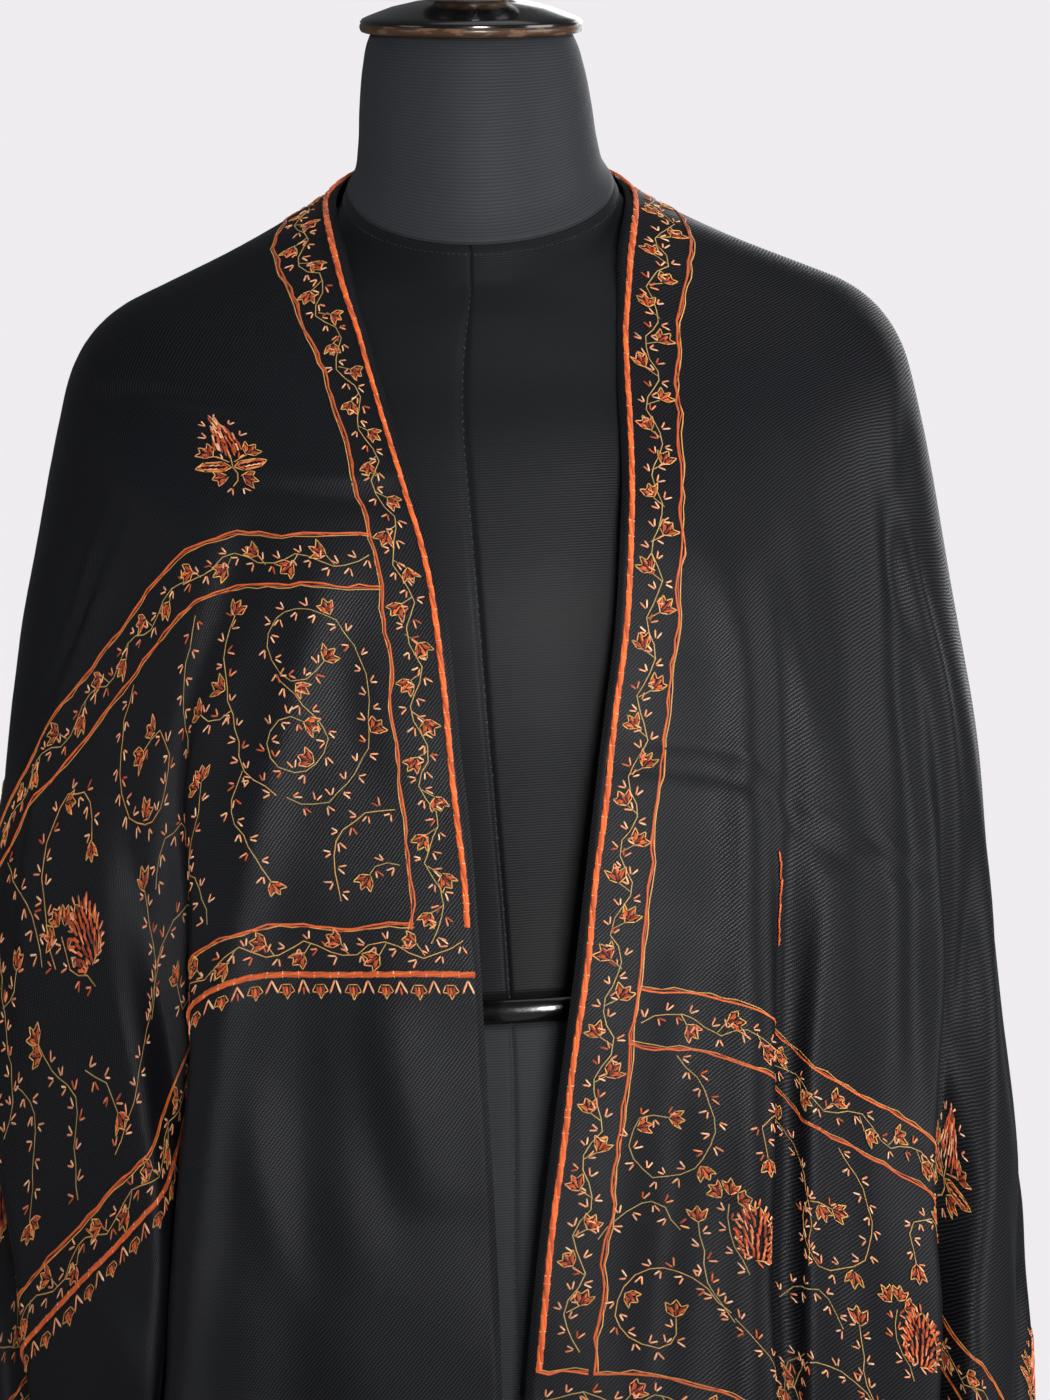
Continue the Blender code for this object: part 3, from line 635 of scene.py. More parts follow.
def dyed(thread, spread):
    """A thread's colour, a little lighter or darker than its dye."""
    change = 1 + vary(-spread, spread)
    return tuple(min(1.0, channel * change) for channel in THREADS[thread]) + (1.0,)


def lay_lines(name, lines, material, sides=4, flatness=0.8):
    """A piece of threads laid along lines: each is its places, its thickness and its thread."""
    points, edges, thickness, dyes = [], [], [], []
    for line, thick, thread in lines:
        dye = dyed(thread, 0.18)
        edges += [(len(points) + i, len(points) + i + 1) for i in range(len(line) - 1)]
        points += [p if isinstance(p, tuple) else (p.real, p.imag, thick * 0.3) for p in line]
        thickness += [thick] * len(line)
        dyes += [dye] * len(line)
    mesh = bpy.data.meshes.new("lines")
    mesh.from_pydata(points, edges, [])
    keep(mesh, "thickness", "FLOAT", thickness)
    keep(mesh, "dye", "FLOAT_COLOR", dyes)
    return sewn_mesh(name, mesh, lay_threads, {
        "Material": material, "Sides": sides, "Flatness": flatness})


Stitch = namedtuple("Stitch", "place aim length width thread height")


def sew(name, rows, seed, jitter=0.10):
    """A piece of stitches sewn to the cloth."""
    mesh = bpy.data.meshes.new("stitches")
    mesh.from_pydata([(s.place.real, s.place.imag, s.height) for s in rows], [], [])
    for label in ("aim", "length", "width"):
        keep(mesh, label, "FLOAT", [getattr(s, label) for s in rows])
    keep(mesh, "dye", "FLOAT_COLOR", [dyed(s.thread, 0.25) for s in rows])
    return sewn_mesh(name, mesh, sew_stitches, {
        "Material": silk_thread, "Seed": seed, "Jitter": jitter})


def between(start, end, width, thread, height=0.0):
    """The stitch from one place to another."""
    way = end - start
    return Stitch((start + end) / 2, cmath.phase(way), abs(way) * 1.06, width, thread, height + width * 0.15)


stitch = stitch_form()
lay_threads = thread_tree()
sew_stitches = stitch_tree()
wool_thread = thread_material("crewel_thread", 0.62, 0.5)
silk_thread = thread_material("silk_thread", 0.45, 0.35)

# === the couched cord
# A thick cord of loose orange wool lies close inside both selvages and across the foot of each worked end.
# It is held down by fine peach stitches over it, every few millimetres.
FOOT = {-1: -0.578, 1: 0.798}              # where the foot cord of each end lies along the stole
INNER_FOOT = {-1: -0.5545, 1: 0.771}       # the double line above it
SELVAGE_CORD = 0.0058
CORD_WIDTH = 0.0031
TIE_SPACING = 0.0052


def both_sides(offset):
    """The places across the stole that are this far in from its two selvages."""
    return offset, CUT_WIDTH - offset


def wavering(start, end, sway, length, step=0.004):
    """A line from one place to another that sways slowly from side to side, as it is sewn by hand."""
    run = abs(end - start)
    side = 1j * (end - start) / run
    count = max(2, round(run / step))
    waves = [(vary(0.7, 1.5) * length, vary(0, 6.3), vary(0.5, 1.0)) for _ in range(3)]

    def off(t):
        return sum(k * math.sin(2 * math.pi * t * run / wave + phase) for wave, phase, k in waves)

    return [start + (end - start) * t + side * sway / 2 * off(t)
            for t in (i / count for i in range(count + 1))]


def halved(line):
    """The same line with a point more in the middle of each stitch, so that it follows the cloth closely."""
    return line[:1] + [point for a, b in zip(line, line[1:]) for point in ((a + b) / 2, b)]


cord_lines = [wavering(complex(INNER_FOOT[-1], w), complex(INNER_FOOT[1], w), 0.0004, 0.09)
              for w in both_sides(SELVAGE_CORD)]
cord_lines += [wavering(complex(FOOT[side], 0.003), complex(FOOT[side], CUT_WIDTH - 0.003), 0.0009, 0.11)
               for side in (-1, 1)]
plied = []
ties = []
for line in cord_lines:
    for lay, thread in ((-1, "flame"), (1, "flame"), (0, "rust")):
        twisted = []
        for i, place in enumerate(line):
            way = line[min(i + 1, len(line) - 1)] - line[max(i - 1, 0)]
            twist = i * 0.9 + lay * 2 * math.pi / 3
            place += 1j * way / abs(way) * CORD_WIDTH * 0.24 * math.sin(twist)
            twisted.append((place.real, place.imag, 0.0010 + 0.0004 * math.cos(twist)))
        plied.append((twisted, CORD_WIDTH * 0.62, thread))
cord = lay_lines("edge_cord", plied, wool_thread, 6, 0.7)
for line in cord_lines:
    travelled = 0.0
    for before, after in zip(line, line[1:]):
        travelled += abs(after - before)
        if travelled > TIE_SPACING:
            travelled = vary(-0.3, 0.3) * TIE_SPACING
            aim = cmath.phase(after - before) + math.pi / 2 + vary(-0.35, 0.15)
            ties.append(Stitch(after, aim, CORD_WIDTH * vary(1.05, 1.3), 0.0006,
                               "peach" if draw.random() < 0.6 else "salmon", 0.0016))
cord_ties = sew("cord_ties", ties, 3)

# === the double lines
# Fine threads side by side, flame, rust and old gold, frame the borders and the worked ends. They are laid
# in short straight stitches that cross and part a little along their way.
INNER_LINE = 0.033
END_TOP = {-1: -0.355, 1: 0.575}           # the first double line of each worked end
BAND = 0.0285                              # breadth of the flower band below it
DOUBLE_LINE = ((-0.0007, "flame", 0.00105), (0.0002, "rust", 0.00070), (0.0009, "gold", 0.00055))
outlines = []


def double_line(start, end):
    """The threads of a double line, each beside a middle line that wavers."""
    side = 1j * (end - start) / abs(end - start)
    middle = wavering(start, end, 0.0012, 0.045, 0.0062)
    shifts = [vary(-0.0005, 0.0005) for _ in middle]
    middle[1:-1] = [place + side * shift for place, shift in zip(middle[1:-1], shifts)]
    for offset, thread, thick in DOUBLE_LINE:
        line = [place + side * (offset + vary(-0.00065, 0.00065)) for place in middle]
        outlines.append((halved(line), thick * vary(0.9, 1.1), thread))


for w in both_sides(INNER_LINE):
    double_line(complex(INNER_FOOT[-1] - 0.001, w), complex(INNER_FOOT[1] + 0.001, w))
for side in (-1, 1):
    for u in (END_TOP[side], END_TOP[side] + side * BAND, INNER_FOOT[side]):
        double_line(complex(u, INNER_LINE - 0.001), complex(u, CUT_WIDTH - INNER_LINE + 0.001))
for w in both_sides(INNER_LINE / 2):
    double_line(complex(INNER_FOOT[1], w - 0.012), complex(INNER_FOOT[1], w + 0.013))
double_lines = lay_lines("double_lines", outlines, silk_thread)

# === vines, leaves and flowers
# Thin olive stems of straight back stitches carry pairs of short thick leaf stitches and open tulips, whose
# petals are outlined in gold and filled with rust and orange.
STEM = 0.00055
LEAF_LENGTH = 0.0041
LEAF_WIDTH = 0.00102
LEAF_SPACING = 0.0060
FLOWER_SPACING = 0.066
stems, leaves, flowers = [], [], []


def strayed(place, by):
    """A place a little off where it should be."""
    return place + complex(vary(-by, by), vary(-by, by))


def turned(at, shape):
    """Points of a small shape, drawn pointing along the stole, at its place, aim and size on the cloth."""
    place, aim, size = at
    return [place + p * cmath.rect(size, aim) for p in shape]


def petal(at, ends, width, thread, height, rows=flowers):
    """One stitch of a small shape."""
    rows.append(between(*turned(at, ends), width, thread, height))


def outlined(at, ring, width, height, pick):
    """Stitches along the outline of a small shape."""
    for ends in zip(ring, ring[1:]):
        petal(at, ends, width, pick(), height)


def leaf_pair(rows, place, aim):
    """Two short stitches in a V that opens away from the stem."""
    threads = ("peach", "salmon") if draw.random() < 0.75 else ("salmon", "rust")
    for turn, thread in zip((-0.42, 0.42), threads):
        heading = aim + turn + vary(-0.15, 0.15)
        start = place + cmath.rect(0.0007, heading)
        end = start + cmath.rect(LEAF_LENGTH * vary(0.85, 1.15), heading)
        rows.append(between(start, end, LEAF_WIDTH, thread, 0.0002))


TULIP_OUTLINE = (0j, .30-.44j, .84-.60j, .66-.22j, 1.06+.02j, .66+.24j, .82+.62j, .28+.44j, 0j)
TULIP_FILL = ((.16-.12j, .66-.48j, "rust"), (.14+0j, .86+.02j, "brick"), (.16+.12j, .64+.48j, "rust"),
              (.34-.10j, .60-.30j, "brick"), (.32+.12j, .60+.32j, "rust"), (.50-.08j, .84-.02j, "flame"))


def tulip(*at):
    """A three-petalled flower, its outline in gold stitches and its petals filled."""
    ring = [strayed(p, 0.07) for p in TULIP_OUTLINE]
    outlined(at, ring, 0.00070, 0.0004, lambda: "gold" if draw.random() < 0.8 else "salmon")
    for *ends, thread in TULIP_FILL:
        petal(at, ends, 0.00115, "flame" if draw.random() < 0.2 else thread, 0.0001)


def smoothed(points, step=0.0072):
    """A soft curve through places, cut into stitches of one length."""
    knots = np.concatenate([[0], np.cumsum(np.abs(np.diff(points)))])
    path = smooth_through(knots, np.array(points), np.linspace(0, knots[-1], 400))
    run = np.concatenate([[0], np.cumsum(np.abs(np.diff(path)))])
    return np.interp(np.linspace(0, run[-1], max(2, round(run[-1] / step)) + 1), run, path).tolist()


def grow(points, spacing=LEAF_SPACING, blooms=False):
    """A stem with leaves to either side in turn, or now and then a flower. Gives its end and heading."""
    line = smoothed(points)
    line[1:-1] = [strayed(p, 0.0010) for p in line[1:-1]]
    stems.append((halved(line), STEM, "olive" if draw.random() < 0.7 else "gold"))
    travelled, hand, since = spacing * 0.4, 1, 0.0
    for a, b in zip(line, line[1:]):
        way = (b - a) / abs(b - a)
        while travelled < abs(b - a):
            aim = cmath.phase(way) + hand * vary(0.75, 1.25)
            place = a + way * travelled + 1j * hand * way * vary(0.0009, 0.0019)
            if blooms and since > FLOWER_SPACING * vary(0.8, 1.2):
                tulip(place, aim, vary(0.0076, 0.0088))
                since = 0.0
            else:
                leaf_pair(leaves, place, aim)
            hand = -hand
            step = spacing * vary(0.8, 1.2)
            travelled += step
            since += step
        travelled -= abs(b - a)
    return line[-1], cmath.phase(line[-1] - line[-2])


def band_vine(start, end, swing=0.0042, wave=0.0195):
    """A vine that swings along a band, with a tulip on a short stalk in each of its hollows."""
    run = abs(end - start)
    count = max(2, round(run / wave))

    def place(k, off):
        return start + (end - start) * k / count + 1j * (end - start) / run * off

    bends = []
    for k in range(count + 1):
        off = swing * (1 if k % 2 else -1) * vary(0.75, 1.15)
        bends.append(place(k + vary(-0.12, 0.12) if 0 < k < count else k, off))
    grow(bends, LEAF_SPACING * 0.92)
    for k in range(1, count):
        hand = -1 if k % 2 else 1
        root = place(k + 0.02, -hand * swing * 0.8)
        foot = place(k + 0.22, hand * swing * vary(0.55, 0.85))
        stems.append((halved([root, foot]), STEM, "olive"))
        tulip(foot, cmath.phase(end - start) + hand * vary(0.25, 0.8), vary(0.0078, 0.0094))


draw.seed(23)
for w in both_sides((SELVAGE_CORD + INNER_LINE) / 2 + 0.0005):
    band_vine(complex(INNER_FOOT[1] - 0.010, w), complex(INNER_FOOT[-1] - 0.008, w))
for side in (-1, 1):
    for u, w in ((END_TOP[side] + side * BAND / 2, INNER_LINE + 0.003),
                 ((INNER_FOOT[side] + FOOT[side]) / 2 - side * 0.0008, 0.008)):
        band_vine(complex(u, w), complex(u, CUT_WIDTH - w), 0.0038, 0.0190)

# === the worked ends
# Between the bands each end is filled with curling vines and paisley sprays. Two layouts, each as wide as
# CELL, are worked in turn across it: one of scrolls, and one that is led round a spray. One row for each
# vine: whether a flower ends it, then its places in millimetres, down from the band and across the layout.
CELL = 0.126
SCROLLS = (
    (1, 106, 58, 110, 42, 100, 28, 82, 15, 56, 11, 30, 16, 13, 32, 14, 53, 30, 63, 45, 56, 47, 41, 38, 33),
    (1, 45, 60, 59, 45, 78, 34, 92, 44, 91, 60, 77, 66, 66, 57, 68, 46),
    (1, 105, 63, 92, 78, 72, 83, 52, 87, 33, 88, 14, 81), (1, 91, 80, 106, 88, 126, 80, 148, 69),
    (0, 112, 3, 116, 22, 131, 36, 158, 34), (1, 140, 3, 138, 12, 145, 19), (1, 60, 85, 62, 96, 55, 104),
    (1, 160, 104, 140, 108, 122, 118, 104, 108, 88, 104), (0, 6, 104, 22, 112, 42, 122, 64, 120))
LED_ROUND = (
    (1, 130, 72, 116, 58, 100, 54, 86, 50),
    (1, 4, 30, 20, 46, 44, 52, 62, 42, 66, 24, 52, 12, 36, 18, 36, 30),
    (1, 126, 70, 114, 46, 118, 22, 136, 14, 152, 26, 150, 44, 137, 44),
    (0, 100, 2, 86, 12, 80, 30, 92, 42), (1, 70, 124, 44, 122, 22, 110, 14, 90, 26, 76, 42, 80),
    (0, 158, 120, 146, 100, 134, 84, 128, 72), (1, 116, 124, 128, 114, 144, 112))
# Which layout lies where across each end, whether it is turned over, and the place of its spray, if any.
END_LAYOUTS = {
    -1: ((SCROLLS, 34, False, ()), (LED_ROUND, 160, False, (84, 99)), (SCROLLS, 286, True, ()),
         (LED_ROUND, 412, True, (92, 95)), (SCROLLS, 538, False, ())),
    1: ((LED_ROUND, 26, False, (95, 80)), (LED_ROUND, 130, False, (92, 86)), (SCROLLS, 262, True, ()),
        (LED_ROUND, 400, True, (90, 95)), (SCROLLS, 538, True, ())),
}
UP = {-1: 0.0, 1: math.pi}           # the aim of what stands upright on each end


def big_leaf(place, aim, length, breadth):
    """A pointed leaf of a spray: gold round rust, with short stitches slanting inside it."""
    def stretched(*shape):
        return [complex(p.real * length, p.imag * breadth) for p in shape]

    at = place, aim, 1.0
    half = 0j, .22+.50j, .74+.46j, 1+.10j
    ring = *half, *(p.conjugate() for p in half[-2:0:-1]), 0j
    for inset, thread, thick in ((1.0, "gold", 0.00075), (0.80, "flame", 0.00095)):
        outlined(at, stretched(*(0.5 + (p - 0.5) * inset for p in ring)), thick, 0.0003, lambda: thread)
    for k in range(9):
        root = complex(0.16 + 0.075 * k, 0.20 if k % 2 else -0.20)
        petal(at, stretched(root, root + .17+.12j), 0.0010, draw.choice(("peach", "salmon", "rust")), 0.0002)


def ground_spray(place, aim, size):
    """A spray of the plain ground: long upright stitches over two leaves, with flowers beside them."""
    def at(x, y):
        return place + complex(x, y + 0.16 * max(x - 0.45, 0) ** 2) * cmath.rect(size, aim)

    stalk = [at(0.02, 0.05), at(0.10, -0.02), at(0.20, -0.04), at(0.28, 0.0), at(0.46, 0.0)]
    stems.append((stalk, STEM * 1.2, "gold"))
    for k in range(8):
        x, broad = 0.42 + 0.070 * k, 0.17 - 0.017 * k if k else 0.13
        for j in range(-3, 4):
            if k > 5 and abs(j) == 3:
                continue
            y, lift = broad * j / 3 + vary(-0.012, 0.012), x + 0.035 * abs(j) * (0.4 if k else 1)
            root = at(lift + vary(-0.01, 0.01), y)
            tip = at(lift + vary(0.10, 0.15), y * 0.92 + vary(-0.015, 0.015))
            pale = draw.random() < 0.16
            thread = "peach" if pale else draw.choice(("rust", "brick", "flame", "rust", "salmon"))
            flowers.append(between(root, tip, 0.00120, thread, 0.0002 + 0.0003 * draw.random()))
    for hand in (-1, 1):
        big_leaf(at(0.285, hand * 0.015), aim + hand * vary(1.36, 1.52), size * 0.43, size * 0.135)
        tulip(at(0.16, hand * 0.09), aim + hand * vary(1.6, 1.95), size * 0.185)
        tulip(at(0.46, hand * 0.20), aim + hand * vary(0.45, 0.85), size * 0.195)
        stems.append(([at(0.36, hand * 0.03), at(0.42, hand * 0.12), at(0.46, hand * 0.20)], STEM, "gold"))
        leaf_pair(flowers, at(0.0, hand * 0.06), aim + math.pi - hand * 0.6)
        for x, y, turn in ((0.40, 0.09, 0.6), (0.74, 0.19, 0.9), (0.92, 0.13, 0.6)):
            leaf_pair(flowers, at(x, hand * y), aim + hand * turn)
    leaf_pair(flowers, at(1.02, 0.0), aim)


PAISLEY = (.02j, .08-.22j, .30-.36j, .54-.33j, .78-.20j,
           1.02+.06j, .86+.20j, .62+.32j, .36+.36j, .12+.24j, .02j)
PAISLEY_MIDDLE = 0.44
PAISLEY_STALK = (-.30+.10j, -.02+.26j, .20+.50j, .50+.58j, .84+.60j)


def paisley(*at):
    """A paisley: a body packed with slanting stitches, a gold line part of the way round it, short stitches
    that stand out from its rim, and a stalk beside it that carries three flowers."""
    outlined(at, PAISLEY[:7], 0.0008, 0.0005, lambda: "gold")
    for start, end in zip(PAISLEY, PAISLEY[1:]):
        for t in (0.1, 0.6):
            rim = start + (end - start) * t
            out = cmath.phase(rim - PAISLEY_MIDDLE) * 0.6 + vary(-0.2, 0.2)
            ends = [rim + cmath.rect(reach, out) for reach in (0.02, 0.17)]
            petal(at, ends, 0.0011, draw.choice(("peach", "salmon", "peach", "flame")), 0.0003)
    for k in range(8):
        x = 0.04 + 0.112 * k
        broad = math.sqrt(max(0.0, 1 - ((x - 0.40) / 0.60) ** 2)) * 0.31
        for j in range(-3, 4):
            root = complex(x, broad * j / 3 + 0.05 * (k - 3) / 8 + vary(-0.02, 0.02))
            lean = 0.10 + 0.26 * j + vary(-0.25, 0.25)
            tip = root + cmath.rect(vary(0.15, 0.20), lean)
            thread = draw.choice(("rust", "rust", "flame", "flame", "brick", "salmon"))
            if thread == "salmon":
                petal(at, (root, tip), 0.0010, thread, 0.0006)
            else:
                petal(at, (root, tip), 0.00155, thread, 0.0001 + 0.0003 * draw.random())
    end, heading = grow(turned(at, PAISLEY_STALK), LEAF_SPACING * 0.8)
    for turn in (-1.0, 0.0, 1.0):
        tulip(end + cmath.rect(0.0046, heading + turn), heading + turn, 0.0080)


for side, layouts in END_LAYOUTS.items():
    for vines, starts, flipped, spray in layouts:
        def on_cloth(places):
            """The places of a layout on the cloth."""
            return [complex(END_TOP[side] + side * (BAND + down / 1000),
                            starts / 1000 + (CELL - over / 1000 if flipped else over / 1000))
                    for down, over in zip(places[::2], places[1::2])]

        for flower, *places in vines:
            end, heading = grow(on_cloth(places), blooms=True)
            if flower:
                tulip(end, heading, vary(0.0078, 0.0092))
        for place in on_cloth(spray):
            paisley(place, UP[side], 0.027)

# === sprays in the plain ground
# A row of sprays stands above each worked end, with room between them. On the longer end the first is only a
# narrow bud, beside the pleat.
for side, above, row in ((-1, 0.029, (0.100, 0.350, 0.474, 0.596)), (1, 0.050, (0.312, 0.460, 0.604))):
    for w in row:
        ground_spray(complex(END_TOP[side] - side * above, w), UP[side], 0.046)
for k in range(11):
    place = complex(0.5345 - 0.0040 * k, 0.1085 - 0.00055 * k + vary(-0.0006, 0.0006))
    tip = place - complex(0.0056, 0.0008 - vary(-0.0012, 0.0012))
    flowers.append(between(place, tip, 0.0014, draw.choice(("rust", "rust", "flame")), 0.0003))

# === the edging below the foot cord
# Small square flowers, outlined in gold, and arrows of two or three stitches hang from the foot cord in
# turn. They are sewn in the same silk as the vines.
EDGING_STEP = 0.0082
SQUARE_FLOWER = (-.30j, .5-.55j, .55-.1j, 1+.05j, .60+.25j, .45+.55j, .30j, -.30j)
for side in (-1, 1):
    for k in range(round((CUT_WIDTH - 0.012) / EDGING_STEP)):
        foot = complex(FOOT[side] + side * 0.0030, 0.007 + k * EDGING_STEP + vary(-0.0006, 0.0006))
        if k % 2:
            at = foot + side * 0.0022, UP[-side], vary(0.0070, 0.0082)
            outlined(at, SQUARE_FLOWER, 0.0006, 0.0004, lambda: "gold")
            for y, thread in ((-0.2, "rust"), (0.0, "flame"), (0.2, "brick")):
                petal(at, (0.12 + y * 1j, 0.72 + (y + 0.05) * 1j), 0.0014, thread, 0.0001)
        else:
            at = foot, UP[-side], 0.0046
            petal(at, (0j, 1.45-.66j), 0.0011, "salmon", 0.0002, leaves)
            petal(at, (0j, 1.45+.66j), 0.0011, "peach", 0.0002, leaves)
            if draw.random() < 0.5:
                petal(at, (.75+0j, 1.6+.05j), 0.0010, "rust", 0.0002, leaves)

vine_stems = lay_lines("vine_stems", stems, silk_thread)
leaf_stitches = sew("leaf_stitches", leaves, 5)
flower_pieces = [sew(name, rows, 9, 0.05)
                 for name, rows in (("flowers_left_end", [s for s in flowers if s.place.real > 0]),
                                    ("flowers_right_end", [s for s in flowers if s.place.real <= 0]))]
bpy.data.objects.remove(pattern, do_unlink=True)

# === the dress form
# A limbless dress form carries the stole: a hollow papier-mache body in a black ribbed jersey cover, with a
# charcoal cover on its neck and a lighter one on its hips, parted by a lacquered band round the waist.
# One row for each ring of the form: its height from TOP, its half width, its reach to front and back, how
# full it is, how far it nods forward (slope) and what share of the lean it has.
Ring = namedtuple("Ring", "up half front back full nod lean")
NECK_RINGS = in_mm(Ring, 4, (
    (82, 54, 51, 50, 2, .2217, 0), (78, 55.8, 52.5, 51.5, 2, .23, 0), (64, 59.3, 55, 53, 2, .3, .1),
    (43, 62.2, 57, 54.5, 2, .4, .2), (22, 64.2, 58.5, 55.5, 2, .52, .3), (8, 67.2, 60, 56.8, 2, .6, .4),
    (0, 71.8, 62.2, 57.8, 2, .62, .4)))
TORSO_RINGS = NECK_RINGS[-1:] + in_mm(Ring, 4, (
    (-17, 81.5, 66, 61, 2, .56, .4), (-30, 106, 69, 66, 1.9, .46, .7), (-41, 135, 74, 74, 1.85, .36, 1),
    (-56, 162, 79.5, 83, 1.85, .24, 1), (-76, 182, 84.8, 92, 1.95, .14, 1),
    (-105, 190, 92.4, 102, 2.1, .06, 1), (-140, 185, 104, 110, 2.2, 0, 1),
    (-180, 171, 113, 114, 2.2, 0, 1), (-225, 156, 119, 113, 2.2, 0, 1), (-280, 142, 114, 104, 2.2, 0, 1),
    (-340, 128, 103, 92, 2.15, 0, 1), (-395, 118, 94, 83, 2.1, 0, 1), (-427.5, 115.5, 91, 80, 2.1, 0, 1)))
HIP_RINGS = in_mm(Ring, 4, (
    (-440.5, 115.5, 91, 80, 2.1, 0, 1), (-470, 121, 95, 88, 2.1, 0, 1), (-520, 138, 104, 104, 2.2, 0, 1),
    (-570, 154, 111, 116, 2.3, 0, 1), (-620, 163, 113, 121, 2.3, 0, 1), (-660, 164, 111, 120, 2.3, 0, .6),
    (-676, 158, 105, 114, 2.3, 0, .2), (-680, 150, 97, 106, 2.3, 0, 0)))
LOOSE_TURN = -0.065          # the form stands turned a little on its pole, its front seam off the middle
SEAM = 0.0003                # between the neck and the torso
GROOVE = 0.0010              # depth of the groove along the front seam
# The angles of the points round the form from its front seam, close together beside the seam.
RING_TURNS = spaced(-math.pi, (-0.40, 0.056), (-0.028, 0.024), (0.028, 0.0056), (0.40, 0.024),
                    (math.pi, 0.056))[:-1]


def form_skin(name, material, rings, swell, groove=0.0, raise_by=0.0, node=None):
    """The smooth closed skin through rings of the form, from the top down, as a piece, and its points. It is
    swollen by one length at each level."""
    ups = column(rings, "up")
    at = np.linspace(ups[0], ups[-1], len(swell))
    ring = {name: smooth_through(-ups, column(rings, name), -at)[:, None] for name in Ring._fields}
    swell = np.array(swell)[:, None]
    turns = RING_TURNS[None, :]
    seam = groove * np.exp(-((turns * 0.1 / 0.0011) ** 2))
    x, y = oval(turns + LOOSE_TURN, ring["half"] + swell, ring["front"] + swell - seam,
                ring["back"] + swell - seam, ring["full"])
    z = TOP + at[:, None] + raise_by + ring["nod"] * y + math.tan(LEAN) * ring["lean"] * x
    points = np.stack([FORM_X - at[:, None] * math.tan(LEAN) + x, y, z], axis=-1)
    mesh = grid_mesh(name, points, closed=True)
    keep(mesh, "down", "FLOAT", np.repeat(at, len(RING_TURNS)))
    return shown(mesh, [material], node or name), points


def shown(mesh, materials, node):
    """A piece of the form in the scene, in place of its node."""
    for material in materials:
        mesh.materials.append(material)
    piece = in_scene(mesh.name, mesh)
    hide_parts(node)
    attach(piece, "root")
    return piece


def cover_material(name, dark, light, relief, roughness):
    """Knitted cover cloth, its courses coloured lighter than its furrows, the dark of the furrows being
    painted shade, and a little dusty in patches.
    """
    material, tree, shader = new_material(name, Roughness=roughness, Specular_IOR_Level=0.17,
                                          Sheen_Weight=0.04, Sheen_Roughness=0.45,
                                          Sheen_Tint=(0.8, 0.85, 1.0, 1.0))
    place = add_node(tree, "TexCoord").outputs["Object"]
    down = add_node(tree, "Attribute", {"attribute_name": "down"}).outputs["Fac"]
    turns = calc("MULTIPLY_ADD", noise(place, 70.0, 2.0), 0.5, calc("DIVIDE", down, COURSE))
    course = calc("SINE", calc("MULTIPLY", turns, 2 * math.pi))
    ribs = calc("MULTIPLY_ADD", noise(place, 1900.0, 1.0), 0.5, calc("MULTIPLY_ADD", course, 0.42, 0.25))
    # The furrows between the courses are coloured darker: painted shade in the furrows. The broad patches are
    # dust.
    shade = calc("MULTIPLY_ADD", noise(place, 11.0, 4.0, 0.6), 0.45, calc("MULTIPLY", ribs, 0.75))
    plug(shader.inputs["Base Color"], blended(shade, dark, light))
    raised(shader, ribs, 0.6, relief)
    return material


def worn_paint(name, paint, bare, roughness, chips, coat=0.0):
    """Paint or lacquer that has worn and chipped, duller where it is scratched, over what is under it."""
    material, tree, shader = new_material(name, Specular_IOR_Level=0.5, Coat_Weight=coat, Coat_Roughness=0.05)
    place = add_node(tree, "TexCoord").outputs["Object"]
    stretched = add_node(tree, "Mapping", Vector=place, Scale=(90.0, 90.0, 260.0))
    flecks, fine = noise(stretched, 1.0, 5.0, 0.65), noise(place, 700.0, 3.0)
    chipped = calc("GREATER_THAN", calc("MULTIPLY_ADD", fine, 0.15, flecks), chips)
    plug(shader.inputs["Base Color"], blended(chipped, paint, bare))
    dull = calc("MULTIPLY_ADD", flecks, 0.22, roughness - 0.08)
    plug(shader.inputs["Roughness"], calc("MULTIPLY_ADD", chipped, 0.35, dull))
    raised(shader, calc("MULTIPLY_ADD", chipped, -0.5, fine), 0.12, 0.0004)
    return material


COURSE = 0.00136             # from one course of the knitted cover to the next
neck_cloth = cover_material("neck_cover", (0.0165, 0.0180, 0.0205), (0.0330, 0.0365, 0.0415), 0.00016, 0.58)
body_cloth = cover_material("body_jersey", (0.0022, 0.0025, 0.0030), (0.0074, 0.0081, 0.0096), 0.00016, 0.50)
hip_cloth = cover_material("hip_jersey", (0.0140, 0.0150, 0.0170), (0.0430, 0.0460, 0.0510), 0.0002, 0.55)
lacquer = worn_paint("black_lacquer", (0.0045, 0.0040, 0.0038), (0.030, 0.018, 0.010), 0.16, 0.80, 0.4)
wood = worn_paint("worn_wood", (0.060, 0.024, 0.010), (0.150, 0.078, 0.036), 0.34, 0.62, 0.2)
enamel = worn_paint("base_enamel", (0.0075, 0.0075, 0.0080), (0.060, 0.056, 0.052), 0.30, 0.82)

neck, _ = form_skin("neck", neck_cloth, NECK_RINGS, [0] * 36, raise_by=SEAM / 2, node="neck_block")
torso, torso_points = form_skin("torso", body_cloth, TORSO_RINGS, [0] * 84, GROOVE, -SEAM / 2)
hips, hip_points = form_skin("hips", hip_cloth, HIP_RINGS, [0] * 52, GROOVE, node="hip_block")
waist = [HIP_RINGS[0]._replace(up=up) for up in (TORSO_RINGS[-1].up + 0.0004, HIP_RINGS[0].up - 0.0002)]
waist_swell = [-0.001, 0.0008, 0.0017, 0.0021, 0.0024, 0.0025]
band, _ = form_skin("waist_band", lacquer, waist, waist_swell + waist_swell[::-1])

